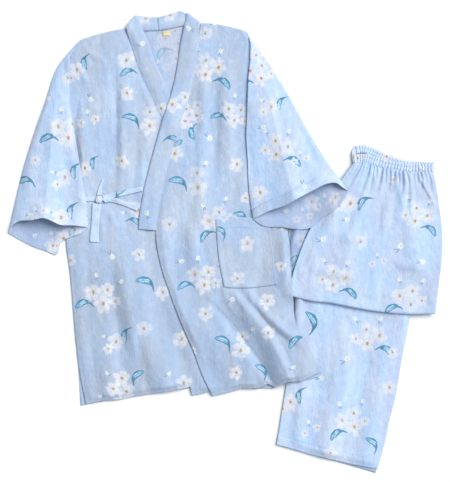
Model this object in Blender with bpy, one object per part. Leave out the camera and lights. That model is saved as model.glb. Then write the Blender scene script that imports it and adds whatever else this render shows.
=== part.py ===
"""A kimono pajama set, laid out flat: a wrap jacket with its ties knotted, and folded trousers.

Tables and sizes are in millimetres, measured from the middle of the set, with +Y towards the jacket's
neck and +Z up. Left and right in a piece's name are the wearer's. In a table they are the reader's,
looking down at the set.
"""

import math
from collections import namedtuple

import bpy
import numpy as np
from mathutils import Matrix, Vector
from mathutils.bvhtree import BVHTree

MM = 0.001

# Driving sizes of the cloth
CLOTH = 1.5  # a wall of double gauze
GAP = 0.45  # between pieces that lie on each other
SEAM = 0.45  # between pieces that are sewn edge to edge
BAND_WIDTH = 36.0
BAND_CLOTH = 2.4  # the collar band is folded double
TIE_WIDTH = 10.0
TAIL_WIDTH = 17.0
TIE_CLOTH = 1.8
LABEL_SIZE = (15.0, 9.0)
LABEL_CLOTH = 0.9
KNOT_SIZE = (15.0, 16.0, 8.0)
POCKET_CLOTH = 1.4

# How far the sleeves gape, between their two layers
SLEEVE_GAP = 1.2
SLEEVE_CROWN = 2.0  # more than that along the middle of a sleeve
CUFF_RISE_RIGHT = 15.0
CUFF_RISE_LEFT = 13.0
SLEEVE_WIDTH = 120.0
SLEEVE_ROUNDING = 5.0  # from a sleeve's edge to its next point

# The collar band: where each half ends on its front, and how far from the shoulder it rises
BAND_END_RIGHT = 10.0
BAND_END_LEFT = 22.0
CREASE_REACH = 100.0  # over which the band rises to its turn

# The folded trousers
WAIST_GATHERS = 28  # in each of the waistband's two rows
GATHER_DEPTH = 1.1
WAIST_CLOTH = 2.4
WAIST_WIDTH = 18.0
WAIST_HOLLOW = 1.6  # between the waistband's front and rear rows
LAYERS = 4  # that show at the edges of the hidden stack
LAYER_STEP = 1.3
LEG_STACK = 3.6  # height of the hidden layers under the lower leg
LIP = 12.0  # how far the hip turns back under its bottom fold
LIP_CLEAR = 0.4  # more than a plain gap, over the leg's low folds
WAIST_CROWN = 0.6  # how far the front row's edges are drawn down

# How finely each panel is divided: columns across it, and the distance between its rows
Grid = namedtuple("Grid", "columns spacing")
GRIDS = {
    "jacket_back": Grid(20, 34.0),
    "jacket_front_right": Grid(18, 27.0),
    "jacket_front_left": Grid(22, 22.0),
    "sleeve": Grid(13, 26.0),
    "trousers_leg": Grid(12, 30.0),
    "trousers_hip": Grid(48, 30.0),
    "trousers_rise": Grid(3, 20.0),
    "pocket": Grid(7, 17.0),
}
WAIST_STEPS = 4  # points along each gather
RIBBON_STEPS = 8
CURVE_STEPS = 8  # between two rows of a table that gives one curve
KNOT_RINGS = 6
KNOT_SIDES = 12
SHARP_ANGLE = 50.0

Section = namedtuple("Section", "left middle right")
Fold = namedtuple("Fold", "start middle end wide_left wide_right height to_hem")
Pleat = namedtuple("Pleat", "share length height")

# Sections across each panel, from its top to its last section before the hem
FRONT_RIGHT = (
    Section((-295, 414), (-248, 428), (-203, 437)),
    Section((-311, 396), (-252, 400), (-192, 405)),
    Section((-324, 357), (-250, 357), (-176, 357)),
    Section((-322, 295), (-235, 295), (-148, 296)),
    Section((-314, 230), (-219, 230), (-118, 230)),
    Section((-301, 168), (-198, 168), (-91, 168)),
    Section((-311, 102), (-190, 98), (-63, 102)),
    Section((-325, 12), (-176, 8), (-26, 12)),
    Section((-317, -59), (-163, -61), (-18, -61)),
    Section((-309, -154), (-155, -152), (-16, -152)),
    Section((-303, -219), (-155, -215), (-16, -215)),
    Section((-295, -279), (-153, -264), (-18, -262)),
)
FRONT_RIGHT_HEM = (
    (-284, -332), (-245, -324), (-213, -322), (-176, -314), (-145, -310), (-114, -305),
    (-80, -299), (-71, -296), (-67, -314), (-51, -311), (-22, -303),
)
FRONT_LEFT = (
    Section((-49, 448), (-2, 443), (46, 430)),
    Section((-53, 418), (-2, 410), (55, 404)),
    Section((-61, 361), (-6, 357), (56, 357)),
    Section((-74, 297), (-14, 295), (52, 291)),
    Section((-94, 236), (-26, 230), (49, 219)),
    Section((-111, 176), (-34, 172), (50, 168)),
    Section((-127, 113), (-34, 107), (83, 102)),
    Section((-136, 23), (-10, 23), (124, 27)),
    Section((-145, 13), (-10, 12), (126, 12)),
    Section((-131, -47), (-2, -49), (129, -41)),
    Section((-112, -105), (11, -102), (132, -115)),
    Section((-88, -168), (27, -164), (146, -176)),
    Section((-64, -223), (52, -217), (171, -213)),
    Section((-43, -279), (64, -262), (187, -244)),
)
FRONT_LEFT_HEM = (
    (-25, -315), (5, -308), (34, -299), (68, -299), (88, -290), (104, -297),
    (117, -291), (131, -285), (157, -284), (181, -272), (197, -266),
)
BACK = (
    Section((-291, 410), (-129, 445), (44, 426)),
    Section((-321, 357), (-135, 361), (52, 361)),
    Section((-319, 295), (-135, 295), (49, 291)),
    Section((-311, 230), (-133, 228), (46, 219)),
    Section((-299, 168), (-127, 168), (48, 168)),
    Section((-309, 102), (-116, 102), (80, 102)),
    Section((-325, 12), (-102, 14), (124, 12)),
    Section((-317, -59), (-92, -59), (130, -53)),
    Section((-309, -154), (-84, -146), (140, -156)),
    Section((-303, -215), (-71, -207), (167, -211)),
    Section((-299, -266), (-59, -256), (185, -246)),
)
BACK_HEM = (
    (-295, -335), (-235, -323), (-153, -310), (-71, -299), (-20, -305), (33, -298),
    (70, -300), (97, -301), (117, -291), (157, -284), (191, -276),
)

# Sections along each sleeve: left is the outer fold, right is the edge nearer the body
ARMHOLE_RIGHT = ((-297, 412), (-317, 377), (-319, 342), (-317, 281), (-307, 219), (-297, 162))
SLEEVE_RIGHT = (
    Section((-342, 359), (-336, 246), (-293, 139)),
    Section((-368, 287), (-352, 193), (-289, 115)),
    Section((-397, 203), (-366, 131), (-283, 84)),
    Section((-423, 111), (-373, 78), (-280, 53)),
)
CUFF_RIGHT_TOP = (
    (-444, 18), (-436, 33), (-422, 42), (-391, 45), (-368, 49), (-352, 43), (-338, 36),
    (-307, 34), (-279, 30),
)
CUFF_RIGHT_UNDER = (
    (-444, 18), (-420, 4), (-389, -11), (-362, -20), (-346, -26), (-334, 0), (-293, 19),
    (-279, 30),
)
ARMHOLE_LEFT = ((50, 420), (53, 403), (52, 373), (48, 332), (46, 281), (44, 213), (47, 168))
SLEEVE_LEFT = (
    Section((89, 368), (76, 260), (47, 141)),
    Section((134, 295), (107, 199), (49, 113)),
    Section((177, 217), (130, 144), (52, 84)),
    Section((216, 154), (146, 107), (56, 61)),
)
CUFF_LEFT_TOP = (
    (253, 105), (241, 112), (228, 121), (208, 119), (183, 107), (143, 86), (126, 76),
    (91, 64), (58, 47),
)
CUFF_LEFT_UNDER = (
    (253, 105), (245, 90), (232, 72), (197, 47), (176, 30), (109, 31), (78, 33), (58, 47),
)

# The collar band across the back neck: seam edge, free edge, from each shoulder to the centre seam
BAND_BACK_RIGHT = (((-202, 437), (-180, 463)), ((-166, 432), (-149, 461)), ((-136, 433), (-138, 460)))
BAND_BACK_LEFT = (((-51, 447), (-78, 467)), ((-81, 443), (-90, 473)), ((-110, 437), (-110, 468)),
                  ((-135, 433), (-137, 460)))

POCKET = (
    Section((-18, 45), (44, 50), (91, 41)),
    Section((-12, -33), (46, -31), (100, -31)),
    Section((-1, -92), (52, -93), (107, -86)),
)

HIP = (
    Section((238, 125), (337, 111), (433, 107)),
    Section((208, 76), (322, 61), (440, 59)),
    Section((173, 23), (310, 12), (444, 16)),
    Section((150, -33), (298, -41), (443, -33)),
    Section((137, -78), (285, -94), (437, -86)),
)
HIP_FOLD = ((137, -112), (177, -121), (216, -125), (261, -134), (302, -141), (380, -148), (430, -147))
LEG = (
    Section((152, -98), (261, -113), (378, -125)),
    Section((146, -162), (259, -180), (376, -170)),
    Section((136, -225), (251, -246), (363, -236)),
    Section((126, -293), (236, -314), (349, -318)),
    Section((116, -355), (224, -375), (336, -369)),
    Section((110, -394), (214, -418), (325, -420)),
)
LEG_HEM = ((106, -414), (148, -426), (178, -435), (228, -447), (263, -455), (313, -464))
RISE = (
    Section((152, 33), (164, 33), (176, 33)),
    Section((133, -12), (150, -12), (167, -12)),
    Section((133, -41), (147, -41), (160, -41)),
    Section((137, -61), (143, -61), (150, -61)),
)

# The hidden layers of the trousers, from the waist to the hem
Stack = namedtuple("Stack", "left right height")
HIP_STACK = (
    Stack((263, 152), (423, 129), 4.0),
    Stack((244, 117), (429, 107), 6.0),
    Stack((218, 61), (435, 59), 9.0),
    Stack((193, 12), (439, 16), 13.0),
    Stack((175, -33), (438, -33), 15.0),
    Stack((158, -78), (432, -86), 15.0),
    Stack((150, -92), (427, -121), 15.0),
)
LOWER_STACK = (
    Stack((155, -94), (374, -122), LEG_STACK),
    Stack((149, -162), (373, -170), LEG_STACK),
    Stack((129, -293), (346, -318), LEG_STACK),
    Stack((113, -394), (322, -420), LEG_STACK),
    Stack((110, -411), (312, -462), LEG_STACK),
)
SECOND_HEM = Stack((109, -415), (309, -473), 1.2)

WAIST_FRONT_TOP = ((263, 179), (292, 180), (316, 172), (349, 165), (382, 160), (425, 161))
WAIST_REAR_TOP = ((267, 197), (285, 199), (304, 193), (333, 180), (365, 168), (423, 164))

# Each stretch of a tie that shows, from its start to its end
TIES = {
    "tie_right_strap": ((-265.5, 88), (-279, 88), (-293, 86)),
    "tie_left_strap": ((-168, 109), (-212, 99), (-248.5, 90)),
    "tie_right_tail": ((-261.5, 78.3), (-265, 39), (-267, 0)),
    "tie_left_tail": ((-247.0, 84), (-225, 85), (-178, 68)),
    "tie_left_loop": ((-256.5, 95.7), (-254, 112), (-248, 129)),
}
KNOT_AT = (-257, 87)
LABEL_AT = (-119, 427)

# The largest folds, run down the picture
FOLDS_FRONT_RIGHT = (
    Fold((-186, -10), (-138, -190), (-71, -297), 62, 20, 10, True),
    Fold((-212, 350), (-198, 210), (-206, 60), 26, 26, 4, False),
    Fold((-262, 330), (-258, 200), (-266, 20), 30, 24, 3, False),
    Fold((-250, 20), (-248, -120), (-232, -322), 34, 34, 3, True),
)
FOLDS_FRONT_LEFT = (
    Fold((-86, -62), (16, -170), (96, -285), 60, 22, 21, True),
    Fold((-4, -88), (72, -178), (150, -262), 26, 26, 14, False),
    Fold((52, -92), (97, -150), (158, -200), 24, 28, 11, False),
    Fold((92, -182), (128, -216), (168, -262), 36, 30, 9, True),
    Fold((-44, 412), (-40, 240), (-52, 60), 20, 24, 5, False),
    Fold((14, 400), (14, 260), (8, 90), 22, 20, 4, False),
    Fold((-70, 40), (-62, -20), (-40, -90), 26, 22, 4, False),
)
FOLDS_SLEEVE_RIGHT = (
    Fold((-352, 340), (-357, 190), (-368, 48), 40, 22, 6, True),
    Fold((-318, 350), (-322, 240), (-298, 90), 20, 14, 4, False),
)
FOLDS_SLEEVE_LEFT = (
    Fold((72, 372), (98, 250), (143, 86), 24, 34, 9, True),
    Fold((58, 350), (60, 220), (72, 90), 14, 18, 4, False),
)
FOLDS_LEG = (
    Fold((250, -150), (236, -260), (208, -430), 60, 60, 2.5, True),
    Fold((330, -160), (318, -260), (290, -440), 40, 40, 2, True),
)
FOLDS_HIP = (
    Fold((290, 60), (260, -20), (230, -90), 60, 60, 2.5, False),
    Fold((384, 70), (392, 0), (386, -100), 44, 44, 2.5, False),
)
PLEATS = (
    Pleat(0.04, 40, 2.5), Pleat(0.11, 100, 4.5), Pleat(0.18, 60, 3.5), Pleat(0.25, 115, 4.5),
    Pleat(0.32, 40, 3.0), Pleat(0.39, 62, 3.5), Pleat(0.46, 46, 3.0), Pleat(0.53, 34, 3.0),
    Pleat(0.60, 52, 3.0), Pleat(0.67, 78, 4.0), Pleat(0.74, 118, 5.0), Pleat(0.81, 46, 3.0),
    Pleat(0.88, 64, 3.5), Pleat(0.95, 52, 2.5),
)
PLEAT_HALF_SHARE = 0.034

# Shares of a fold's length over which it rises and dies away
FOLD_RISE = 0.45
FOLD_FALL = 0.35

# The colour of each piece's cloth, and its roughness
Finish = namedtuple("Finish", "red green blue roughness")
FINISHES = {
    "jacket_back": Finish(0.56, 0.65, 0.80, 0.9),
    "jacket_front_right": Finish(0.62, 0.72, 0.88, 0.9),
    "jacket_front_left": Finish(0.63, 0.73, 0.89, 0.9),
    "sleeve_right": Finish(0.62, 0.72, 0.88, 0.9),
    "sleeve_left": Finish(0.64, 0.74, 0.90, 0.9),
    "collar_band_right": Finish(0.60, 0.70, 0.87, 0.85),
    "collar_band_left": Finish(0.61, 0.71, 0.88, 0.85),
    "pocket": Finish(0.62, 0.72, 0.88, 0.9),
    "tie_left_strap": Finish(0.66, 0.75, 0.90, 0.85),
    "tie_left_loop": Finish(0.67, 0.76, 0.90, 0.85),
    "tie_left_tail": Finish(0.68, 0.77, 0.91, 0.85),
    "tie_right_strap": Finish(0.66, 0.75, 0.90, 0.85),
    "tie_right_tail": Finish(0.67, 0.76, 0.90, 0.85),
    "tie_knot": Finish(0.65, 0.74, 0.89, 0.85),
    "neck_label": Finish(0.83, 0.72, 0.42, 0.5),
    "trousers_layers": Finish(0.58, 0.68, 0.85, 0.9),
    "trousers_leg": Finish(0.61, 0.71, 0.88, 0.9),
    "trousers_rise": Finish(0.57, 0.66, 0.82, 0.9),
    "trousers_hip": Finish(0.63, 0.73, 0.89, 0.9),
    "trousers_waistband": Finish(0.66, 0.76, 0.90, 0.9),
}

DOWN = Vector((0, 0, -1))
HIGH = 500.0
DISC_SIDES = 8

# Each finished piece's faces, for the pieces that lie on it
TREES = {}


def clear_scene():
    for thing in list(bpy.data.objects):
        bpy.data.objects.remove(thing, do_unlink=True)


def cloth_material(name):
    finish = FINISHES[name]
    made = bpy.data.materials.new(name)
    made.use_nodes = True
    shader = made.node_tree.nodes["Principled BSDF"]
    shader.inputs["Base Color"].default_value = (finish.red, finish.green, finish.blue, 1.0)
    shader.inputs["Roughness"].default_value = finish.roughness
    shader.inputs["Metallic"].default_value = 0.0
    return made


def smooth_rows(rows, steps):
    """Rows of points with `steps[k]` even steps between row k and the next, on a Catmull-Rom curve."""
    rows = np.asarray(rows, float)
    first = 2 * rows[0] - rows[1]
    last = 2 * rows[-1] - rows[-2]
    padded = np.concatenate([first[None], rows, last[None]])
    out = []
    for k, count in enumerate(steps):
        before, here, there, after = padded[k:k + 4]
        for t in np.arange(count) / count:
            out.append(
                here
                + 0.5 * t * (there - before)
                + t * t * (before - 2.5 * here + 2 * there - 0.5 * after)
                + 0.5 * t ** 3 * (3 * (here - there) + after - before)
            )
    out.append(rows[-1])
    return np.array(out)


def along(points, shares):
    """Points at these shares of the length of a polyline."""
    points = np.asarray(points, float)
    length = np.concatenate([[0], np.cumsum(np.linalg.norm(np.diff(points, axis=0), axis=1))])
    at = np.asarray(shares) * length[-1]
    return np.stack([np.interp(at, length, points[:, k]) for k in range(2)], axis=1)


def across(section, shares):
    """A section's points: an arc through its left, middle and right."""
    left, middle, right = (np.array(p, float) for p in section)
    u = np.asarray(shares)[:, None]
    return left * (1 - u) * (1 - 2 * u) + middle * 4 * u * (1 - u) + right * u * (2 * u - 1)


def curve_through(points):
    """A smooth curve through a table's points."""
    return smooth_rows(points, [CURVE_STEPS] * (len(points) - 1))


def row_steps(rows, spacing):
    """How many steps lie between each two rows at this spacing."""
    return [
        max(1, round(float(np.linalg.norm(b - a, axis=1).mean()) / spacing))
        for a, b in zip(rows, rows[1:])
    ]


def plan(sections, hem, grid):
    """A panel's points seen from above, as rows down the cloth, with a row on every section."""
    shares = even(grid.columns)
    rows = [across(s, shares) for s in sections]
    if hem is not None:
        rows.append(along(hem, shares))
    return smooth_rows(rows, row_steps(rows, grid.spacing))


def even(count):
    return np.linspace(0, 1, count + 1)


def edged(count, width, inset):
    """Even shares across a width, with one more point `inset` from each edge, for a rounder fold."""
    inner = np.linspace(inset / width, 1 - inset / width, count - 1)
    return np.concatenate([[0], inner, [1]])


def relief(xy, folds):
    """Height of the folds at each point of a grid."""
    flat = xy.reshape(-1, 2)
    out = np.zeros(len(flat))
    t = np.linspace(0, 1, 33)
    for fold in folds:
        path = across((fold.start, fold.middle, fold.end), t)
        away = flat[:, None] - path[None]
        nearest = np.argmin((away ** 2).sum(2), axis=1)
        tangent = np.gradient(path, axis=0)[nearest]
        off = away[np.arange(len(flat)), nearest]
        side = tangent[:, 0] * off[:, 1] - tangent[:, 1] * off[:, 0]
        wide = np.where(side > 0, fold.wide_right, fold.wide_left)
        reach = np.clip(np.linalg.norm(off, axis=1) / wide, 0, 1)
        rise = np.sin(np.clip(t[nearest] / FOLD_RISE, 0, 1) * math.pi / 2) ** 2
        if not fold.to_hem:
            rise = rise * np.sin(np.clip((1 - t[nearest]) / FOLD_FALL, 0, 1) * math.pi / 2) ** 2
        out += fold.height * rise * (1 - reach ** 2) ** 2
    return out.reshape(xy.shape[:2])


def lying_on(xy, below, reach):
    """How high each point must lie to clear the pieces below it, on a disc of `reach` round it."""
    flat = xy.reshape(-1, 2)
    need = np.zeros(len(flat))
    turns = np.linspace(0, 2 * math.pi, DISC_SIDES, endpoint=False)
    offsets = [(0.0, 0.0)]
    offsets += [(r * math.cos(a), r * math.sin(a)) for r in (reach / 4, reach / 2, reach) for a in turns]
    for tree in (TREES[name] for name in below):
        for dx, dy in offsets:
            for k, (x, y) in enumerate(flat):
                hit = tree.ray_cast(Vector((x + dx, y + dy, HIGH)), DOWN)[0]
                if hit is not None:
                    need[k] = max(need[k], hit.z + GAP)
    return need.reshape(xy.shape[:2])


def settled(need, passes):
    """The heights of cloth that hangs gently over what it lies on."""
    z = need.copy()
    for _ in range(passes):
        padded = np.pad(z, 1, mode="edge")
        mean = (padded[:-2, 1:-1] + padded[2:, 1:-1] + padded[1:-1, :-2] + padded[1:-1, 2:]) / 4
        z = np.maximum(need, mean)
    return z


def side_of(curve):
    """Unit vectors across a curve of points, to the reader's left as it runs down."""
    tangent = np.gradient(curve, axis=0)
    tangent /= np.linalg.norm(tangent, axis=1)[:, None]
    return np.stack([tangent[:, 1], -tangent[:, 0]], axis=1)


def inward_of(edge, beside):
    """Unit vectors across an edge, to the side where the points beside it lie."""
    aside = side_of(edge)
    return aside * np.sign(np.sum((beside - edge) * aside))


def grid_faces(rows, columns, start, closed=False):
    """Triangles of a grid whose points are stored row by row from `start`, all split the same way."""
    faces = []
    for r in range(rows - 1):
        for c in range(columns if closed else columns - 1):
            d = (c + 1) % columns
            here, beside = start + r * columns + c, start + r * columns + d
            faces.append((here, here + columns, beside + columns))
            faces.append((here, beside + columns, beside))
    return faces


def volume_of(points, faces):
    total = 0.0
    for face in faces:
        a = points[face[0]]
        for k in range(1, len(face) - 1):
            total += float(np.dot(a, np.cross(points[face[k]], points[face[k + 1]])))
    return total / 6


def solid(name, points, faces):
    """Makes the object, and keeps a tree of its faces for the pieces that lie on it."""
    points = np.asarray(points, float)
    if volume_of(points, faces) < 0:
        faces = [tuple(reversed(face)) for face in faces]
    TREES[name] = BVHTree.FromPolygons([Vector(p) for p in points], faces)
    mesh = bpy.data.meshes.new(name)
    mesh.from_pydata((points * MM).tolist(), [], faces)
    mesh.shade_smooth()
    mesh.set_sharp_from_angle(angle=math.radians(SHARP_ANGLE))
    mesh.materials.append(cloth_material(name))
    made = bpy.data.objects.new(name, mesh)
    bpy.context.scene.collection.objects.link(made)


def wall(name, top, bottom):
    """A closed wall of cloth between two grids of points."""
    rows, columns = top.shape[:2]
    count = rows * columns
    points = np.concatenate([top.reshape(-1, 3), bottom.reshape(-1, 3)])
    faces = grid_faces(rows, columns, 0)
    faces += [tuple(reversed(face)) for face in grid_faces(rows, columns, count)]
    rim = [c for c in range(columns)]
    rim += [r * columns + columns - 1 for r in range(1, rows)]
    rim += [(rows - 1) * columns + c for c in range(columns - 2, -1, -1)]
    rim += [r * columns for r in range(rows - 2, 0, -1)]
    for a, b in zip(rim, rim[1:] + rim[:1]):
        faces.append((a, b, b + count, a + count))
    solid(name, points, faces)


def panel(name, xy, z, thick):
    """A wall of this thickness whose underside has these heights."""
    wall(name, np.dstack([xy, z + thick]), np.dstack([xy, z]))


def wall_about(name, middle, normals, thick):
    """A wall to both sides of a surface that may turn back under itself."""
    wall(name, middle + normals * thick / 2, middle - normals * thick / 2)


def tube(name, outer, inner):
    """A flattened tube of cloth: rings of outer and inner points, open at both ends."""
    rows, around = outer.shape[:2]
    count = rows * around
    points = np.concatenate([outer.reshape(-1, 3), inner.reshape(-1, 3)])
    faces = grid_faces(rows, around, 0, closed=True)
    faces += [tuple(reversed(face)) for face in grid_faces(rows, around, count, closed=True)]
    for row in (0, rows - 1):
        for c in range(around):
            a = row * around + c
            b = row * around + (c + 1) % around
            quad = (a, b, b + count, a + count)
            faces.append(quad if row == 0 else tuple(reversed(quad)))
    solid(name, points, faces)


def ring_of_sections(name, rings):
    """Cut sections joined one to the next, and the last to the first."""
    count, around = rings.shape[:2]
    faces = []
    for k in range(count):
        n = (k + 1) % count
        for c in range(around):
            d = (c + 1) % around
            faces.append((k * around + c, n * around + c, n * around + d, k * around + d))
    solid(name, rings.reshape(-1, 3), faces)


def hidden_layers():
    """The trousers' hidden layers as one solid, thick under the hip and thin under the leg."""
    rings = []
    for rows in (HIP_STACK, LOWER_STACK):
        table = np.array([[*s.left, *s.right, s.height] for s in rows], float)
        for ring in smooth_rows(table, [2] * (len(rows) - 1)):
            rings.append(stack_ring(ring[0:2], ring[2:4], ring[4]))
    rings.append(stack_ring(*SECOND_HEM))
    around = len(rings[0])
    points = [p for ring in rings for p in ring]
    faces = grid_faces(len(rings), around, 0, closed=True)
    faces.append(tuple(range(around)))
    last = (len(rings) - 1) * around
    faces.append(tuple(reversed(range(last, last + around))))
    solid("trousers_layers", points, faces)


def stack_ring(left, right, height):
    """The outline of the hidden layers at one place, with a groove between each two layers."""
    left, right = np.array(left, float), np.array(right, float)
    way = (right - left) / np.linalg.norm(right - left)
    levels = 2 * LAYERS
    grooves = [LAYER_STEP if k % 2 else 0.0 for k in range(levels + 1)]
    grooves[0] = grooves[-1] = LAYER_STEP / 2
    heights = [height * k / levels for k in range(levels + 1)]
    ring = [(*(right - way * g), z) for g, z in zip(grooves, heights)]
    ring += [(*(left + (right - left) * share), height) for share in (0.75, 0.5, 0.25)]
    ring += [(*(left + way * g), z) for g, z in zip(reversed(grooves), reversed(heights))]
    return ring


def lower_leg():
    xy = plan(LEG, LEG_HEM, GRIDS["trousers_leg"])
    panel("trousers_leg", xy, LEG_STACK + GAP + relief(xy, FOLDS_LEG), CLOTH)


def rise_strip():
    xy = plan(RISE, None, GRIDS["trousers_rise"])
    panel("trousers_rise", xy, np.zeros(xy.shape[:2]), CLOTH)


def pleats(xy, shares, top):
    """Height of the pleats that run down from the waistband."""
    down = np.linalg.norm(xy - top[None], axis=2)
    out = np.zeros(xy.shape[:2])
    for pleat in PLEATS:
        beside = np.clip(np.abs(shares - pleat.share) / PLEAT_HALF_SHARE, 0, 1)
        fade = np.clip(1 - down / pleat.length, 0, 1)
        out += pleat.height * (1 - beside[None] ** 2) ** 2 * fade
    return out


def hip():
    """The hip from the waistband down to its bottom fold, where it turns back under."""
    grid = GRIDS["trousers_hip"]
    shares = even(grid.columns)
    fold = along(HIP_FOLD, shares)
    waist = along(curve_through(WAIST_FRONT_TOP), shares)
    lowest = HIP_STACK[-1].height + GAP
    top_middle = lowest + CLOTH / 2
    lip_middle = LEG_STACK + CLOTH + 2 * GAP + CLOTH / 2 + LIP_CLEAR
    radius = (top_middle - lip_middle) / 2
    out = side_of(fold)
    turn_line = fold - out * radius

    rows = [waist + side_of(waist) * (WAIST_WIDTH + SEAM)]
    rows += [across(s, shares) for s in HIP]
    rows.append(turn_line)
    steps = row_steps(rows, grid.spacing)
    steps[0] = 3
    xy = smooth_rows(rows, steps)
    need = lying_on(xy, ("trousers_layers", "trousers_rise"), 9)
    need[-2:] = lowest
    z = settled(need, passes=2) + pleats(xy, shares, xy[0]) + relief(xy, FOLDS_HIP)
    z[-1] = lowest

    up = np.array((0.0, 0.0, 1.0))
    middle = [np.dstack([xy, z + CLOTH / 2])]
    normals = [np.tile(up, (*xy.shape[:2], 1))]
    for turn in np.radians([45, 90, 135, 180]):
        place = turn_line + out * radius * math.sin(turn)
        height = np.full(len(fold), (top_middle + lip_middle) / 2 + radius * math.cos(turn))
        middle.append(np.dstack([place[None], height[None]]))
        facing = np.hstack([out * math.sin(turn), np.full((len(fold), 1), math.cos(turn))])
        normals.append(facing[None])
    lip = turn_line - out * LIP
    middle.append(np.dstack([lip[None], np.full((1, len(fold)), lip_middle)]))
    normals.append(np.tile(-up, (1, len(fold), 1)))
    wall_about("trousers_hip", np.concatenate(middle), np.concatenate(normals), CLOTH)


def waistband():
    """One flattened ring of gathered elastic: its rear row shows above its front row."""
    count = WAIST_GATHERS * WAIST_STEPS
    shares = even(count)
    wave = GATHER_DEPTH * np.sin(2 * math.pi * WAIST_GATHERS * shares)
    low = WAIST_CLOTH / 2
    high = WAIST_CLOTH * 1.5 + WAIST_HOLLOW + 2 * GATHER_DEPTH
    front_top = along(curve_through(WAIST_FRONT_TOP), shares)
    rear_top = along(curve_through(WAIST_REAR_TOP), shares)
    front_low = front_top + side_of(front_top) * WAIST_WIDTH
    rear_low = rear_top + side_of(rear_top) * WAIST_WIDTH

    sections = []
    for k in range(count + 1):
        outer = high + WAIST_CLOTH / 2 + wave[k]
        inner = high - WAIST_CLOTH / 2 + wave[k] * 0.8
        sections.append(band_section(front_top[k], front_low[k], outer, inner, WAIST_CROWN))
    for turn in np.radians([45, 90, 135]):
        top, below = turned(front_top[-1], rear_top[-1], turn), turned(front_low[-1], rear_low[-1], turn)
        sections.append(turn_section(top, below, turn, 1, low, high))
    for k in range(count, -1, -1):
        inner = low + WAIST_CLOTH / 2 + (wave[k] + GATHER_DEPTH) * 0.5
        sections.append(band_section(rear_top[k], rear_low[k], 0.0, inner, 0.0))
    for turn in np.radians([135, 90, 45]):
        top, below = turned(front_top[0], rear_top[0], turn), turned(front_low[0], rear_low[0], turn)
        sections.append(turn_section(top, below, turn, -1, low, high))
    ring_of_sections("trousers_waistband", np.array(sections))


def band_section(top, low, outer, inner, crown):
    """The band cut through: three points on its outer face and three on its inner face."""
    middle = (top + low) / 2
    return [
        (*top, outer - crown), (*middle, outer), (*low, outer - crown),
        (*low, inner), (*middle, inner), (*top, inner),
    ]


def turned(front, rear, turn):
    """The place of a point of the band's edge while it turns from the front row to the rear row."""
    share = (1 - math.cos(turn)) / 2
    return front * (1 - share) + rear * share


def turn_section(top, below, turn, way, low, high):
    """The band cut through at its ends, bulging to the reader's right where `way` is 1."""
    out = np.array([way * math.sin(turn), 0.0])
    centre = (low + high) / 2
    half = (high - low) / 2
    middle = (top + below) / 2
    outer = half + WAIST_CLOTH / 2
    inner = half - WAIST_CLOTH / 2
    places = ((top, outer), (middle, outer), (below, outer), (below, inner), (middle, inner), (top, inner))
    return [(*(place + out * size), centre + size * math.cos(turn)) for place, size in places]


def back_panel():
    xy = plan(BACK, BACK_HEM, GRIDS["jacket_back"])
    z = settled(lying_on(xy, ("trousers_layers", "trousers_leg"), 22), passes=4)
    panel("jacket_back", xy, z, CLOTH)


def front_panel(name, sections, hem, folds, below):
    """A front with its folds, laid over the pieces below. Gives back its points seen from above."""
    grid = GRIDS[name]
    xy = plan(sections, hem, grid)
    z = settled(lying_on(xy, below, grid.spacing * 0.95), passes=6) + relief(xy, folds)
    panel(name, xy, z, CLOTH)
    return xy


def collar_band(name, seam, toward, back, below):
    """The band runs up the front's edge, turns over at the shoulder and goes to the centre back."""
    away = side_of(seam) * toward
    front = np.stack([seam + away * (SEAM + BAND_WIDTH * share) for share in (0, 0.5, 1)], axis=1)
    rear = np.array([[s, (np.array(s) + f) / 2, f] for s, f in back], float)
    crease = rear[0]
    front[-1] = crease
    front[-2] = (front[-3] + crease) / 2
    z_front = settled(lying_on(front, below, BAND_WIDTH / 2), passes=4) + BAND_CLOTH / 2
    from_crease = np.linalg.norm(front - crease[None], axis=2)
    z_front += (BAND_CLOTH + 2 * GAP) * (1 - np.clip(from_crease / CREASE_REACH, 0, 1) ** 2) ** 2
    z_rear = settled(lying_on(rear[1:], below, 14), passes=2) + BAND_CLOTH / 2

    out = crease[1] - front[-4][1]
    out /= np.linalg.norm(out)
    turn = np.dstack([(crease + out * (BAND_CLOTH / 2 + GAP))[None], (z_front[-1] + z_rear[0])[None] / 2])
    under = np.dstack([(crease + (rear[1] - crease) * 0.02)[None], z_rear[0][None]])
    middle = np.concatenate([
        np.dstack([front, z_front]), turn, under, np.dstack([rear[1:], z_rear]),
    ])
    normals = np.zeros_like(middle)
    normals[:, :, 2] = 1
    normals[len(front)] = (*out, 0)
    normals[len(front) + 1:, :, 2] = -1
    wall_about(name, middle, normals, BAND_CLOTH)


def pocket():
    xy = plan(POCKET, None, GRIDS["pocket"])
    panel("pocket", xy, lying_on(xy, ("jacket_front_left", "collar_band_left"), 9), POCKET_CLOTH)


def label():
    wide, long = LABEL_SIZE
    x = LABEL_AT[0] + np.array([-wide / 2, 0, wide / 2])
    y = LABEL_AT[1] + np.array([long / 2, -long / 2])
    xy = np.dstack(np.meshgrid(x, y))
    z = lying_on(xy, ("jacket_back", "collar_band_right", "collar_band_left"), 1)
    panel("neck_label", xy, z, LABEL_CLOTH)


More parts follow.
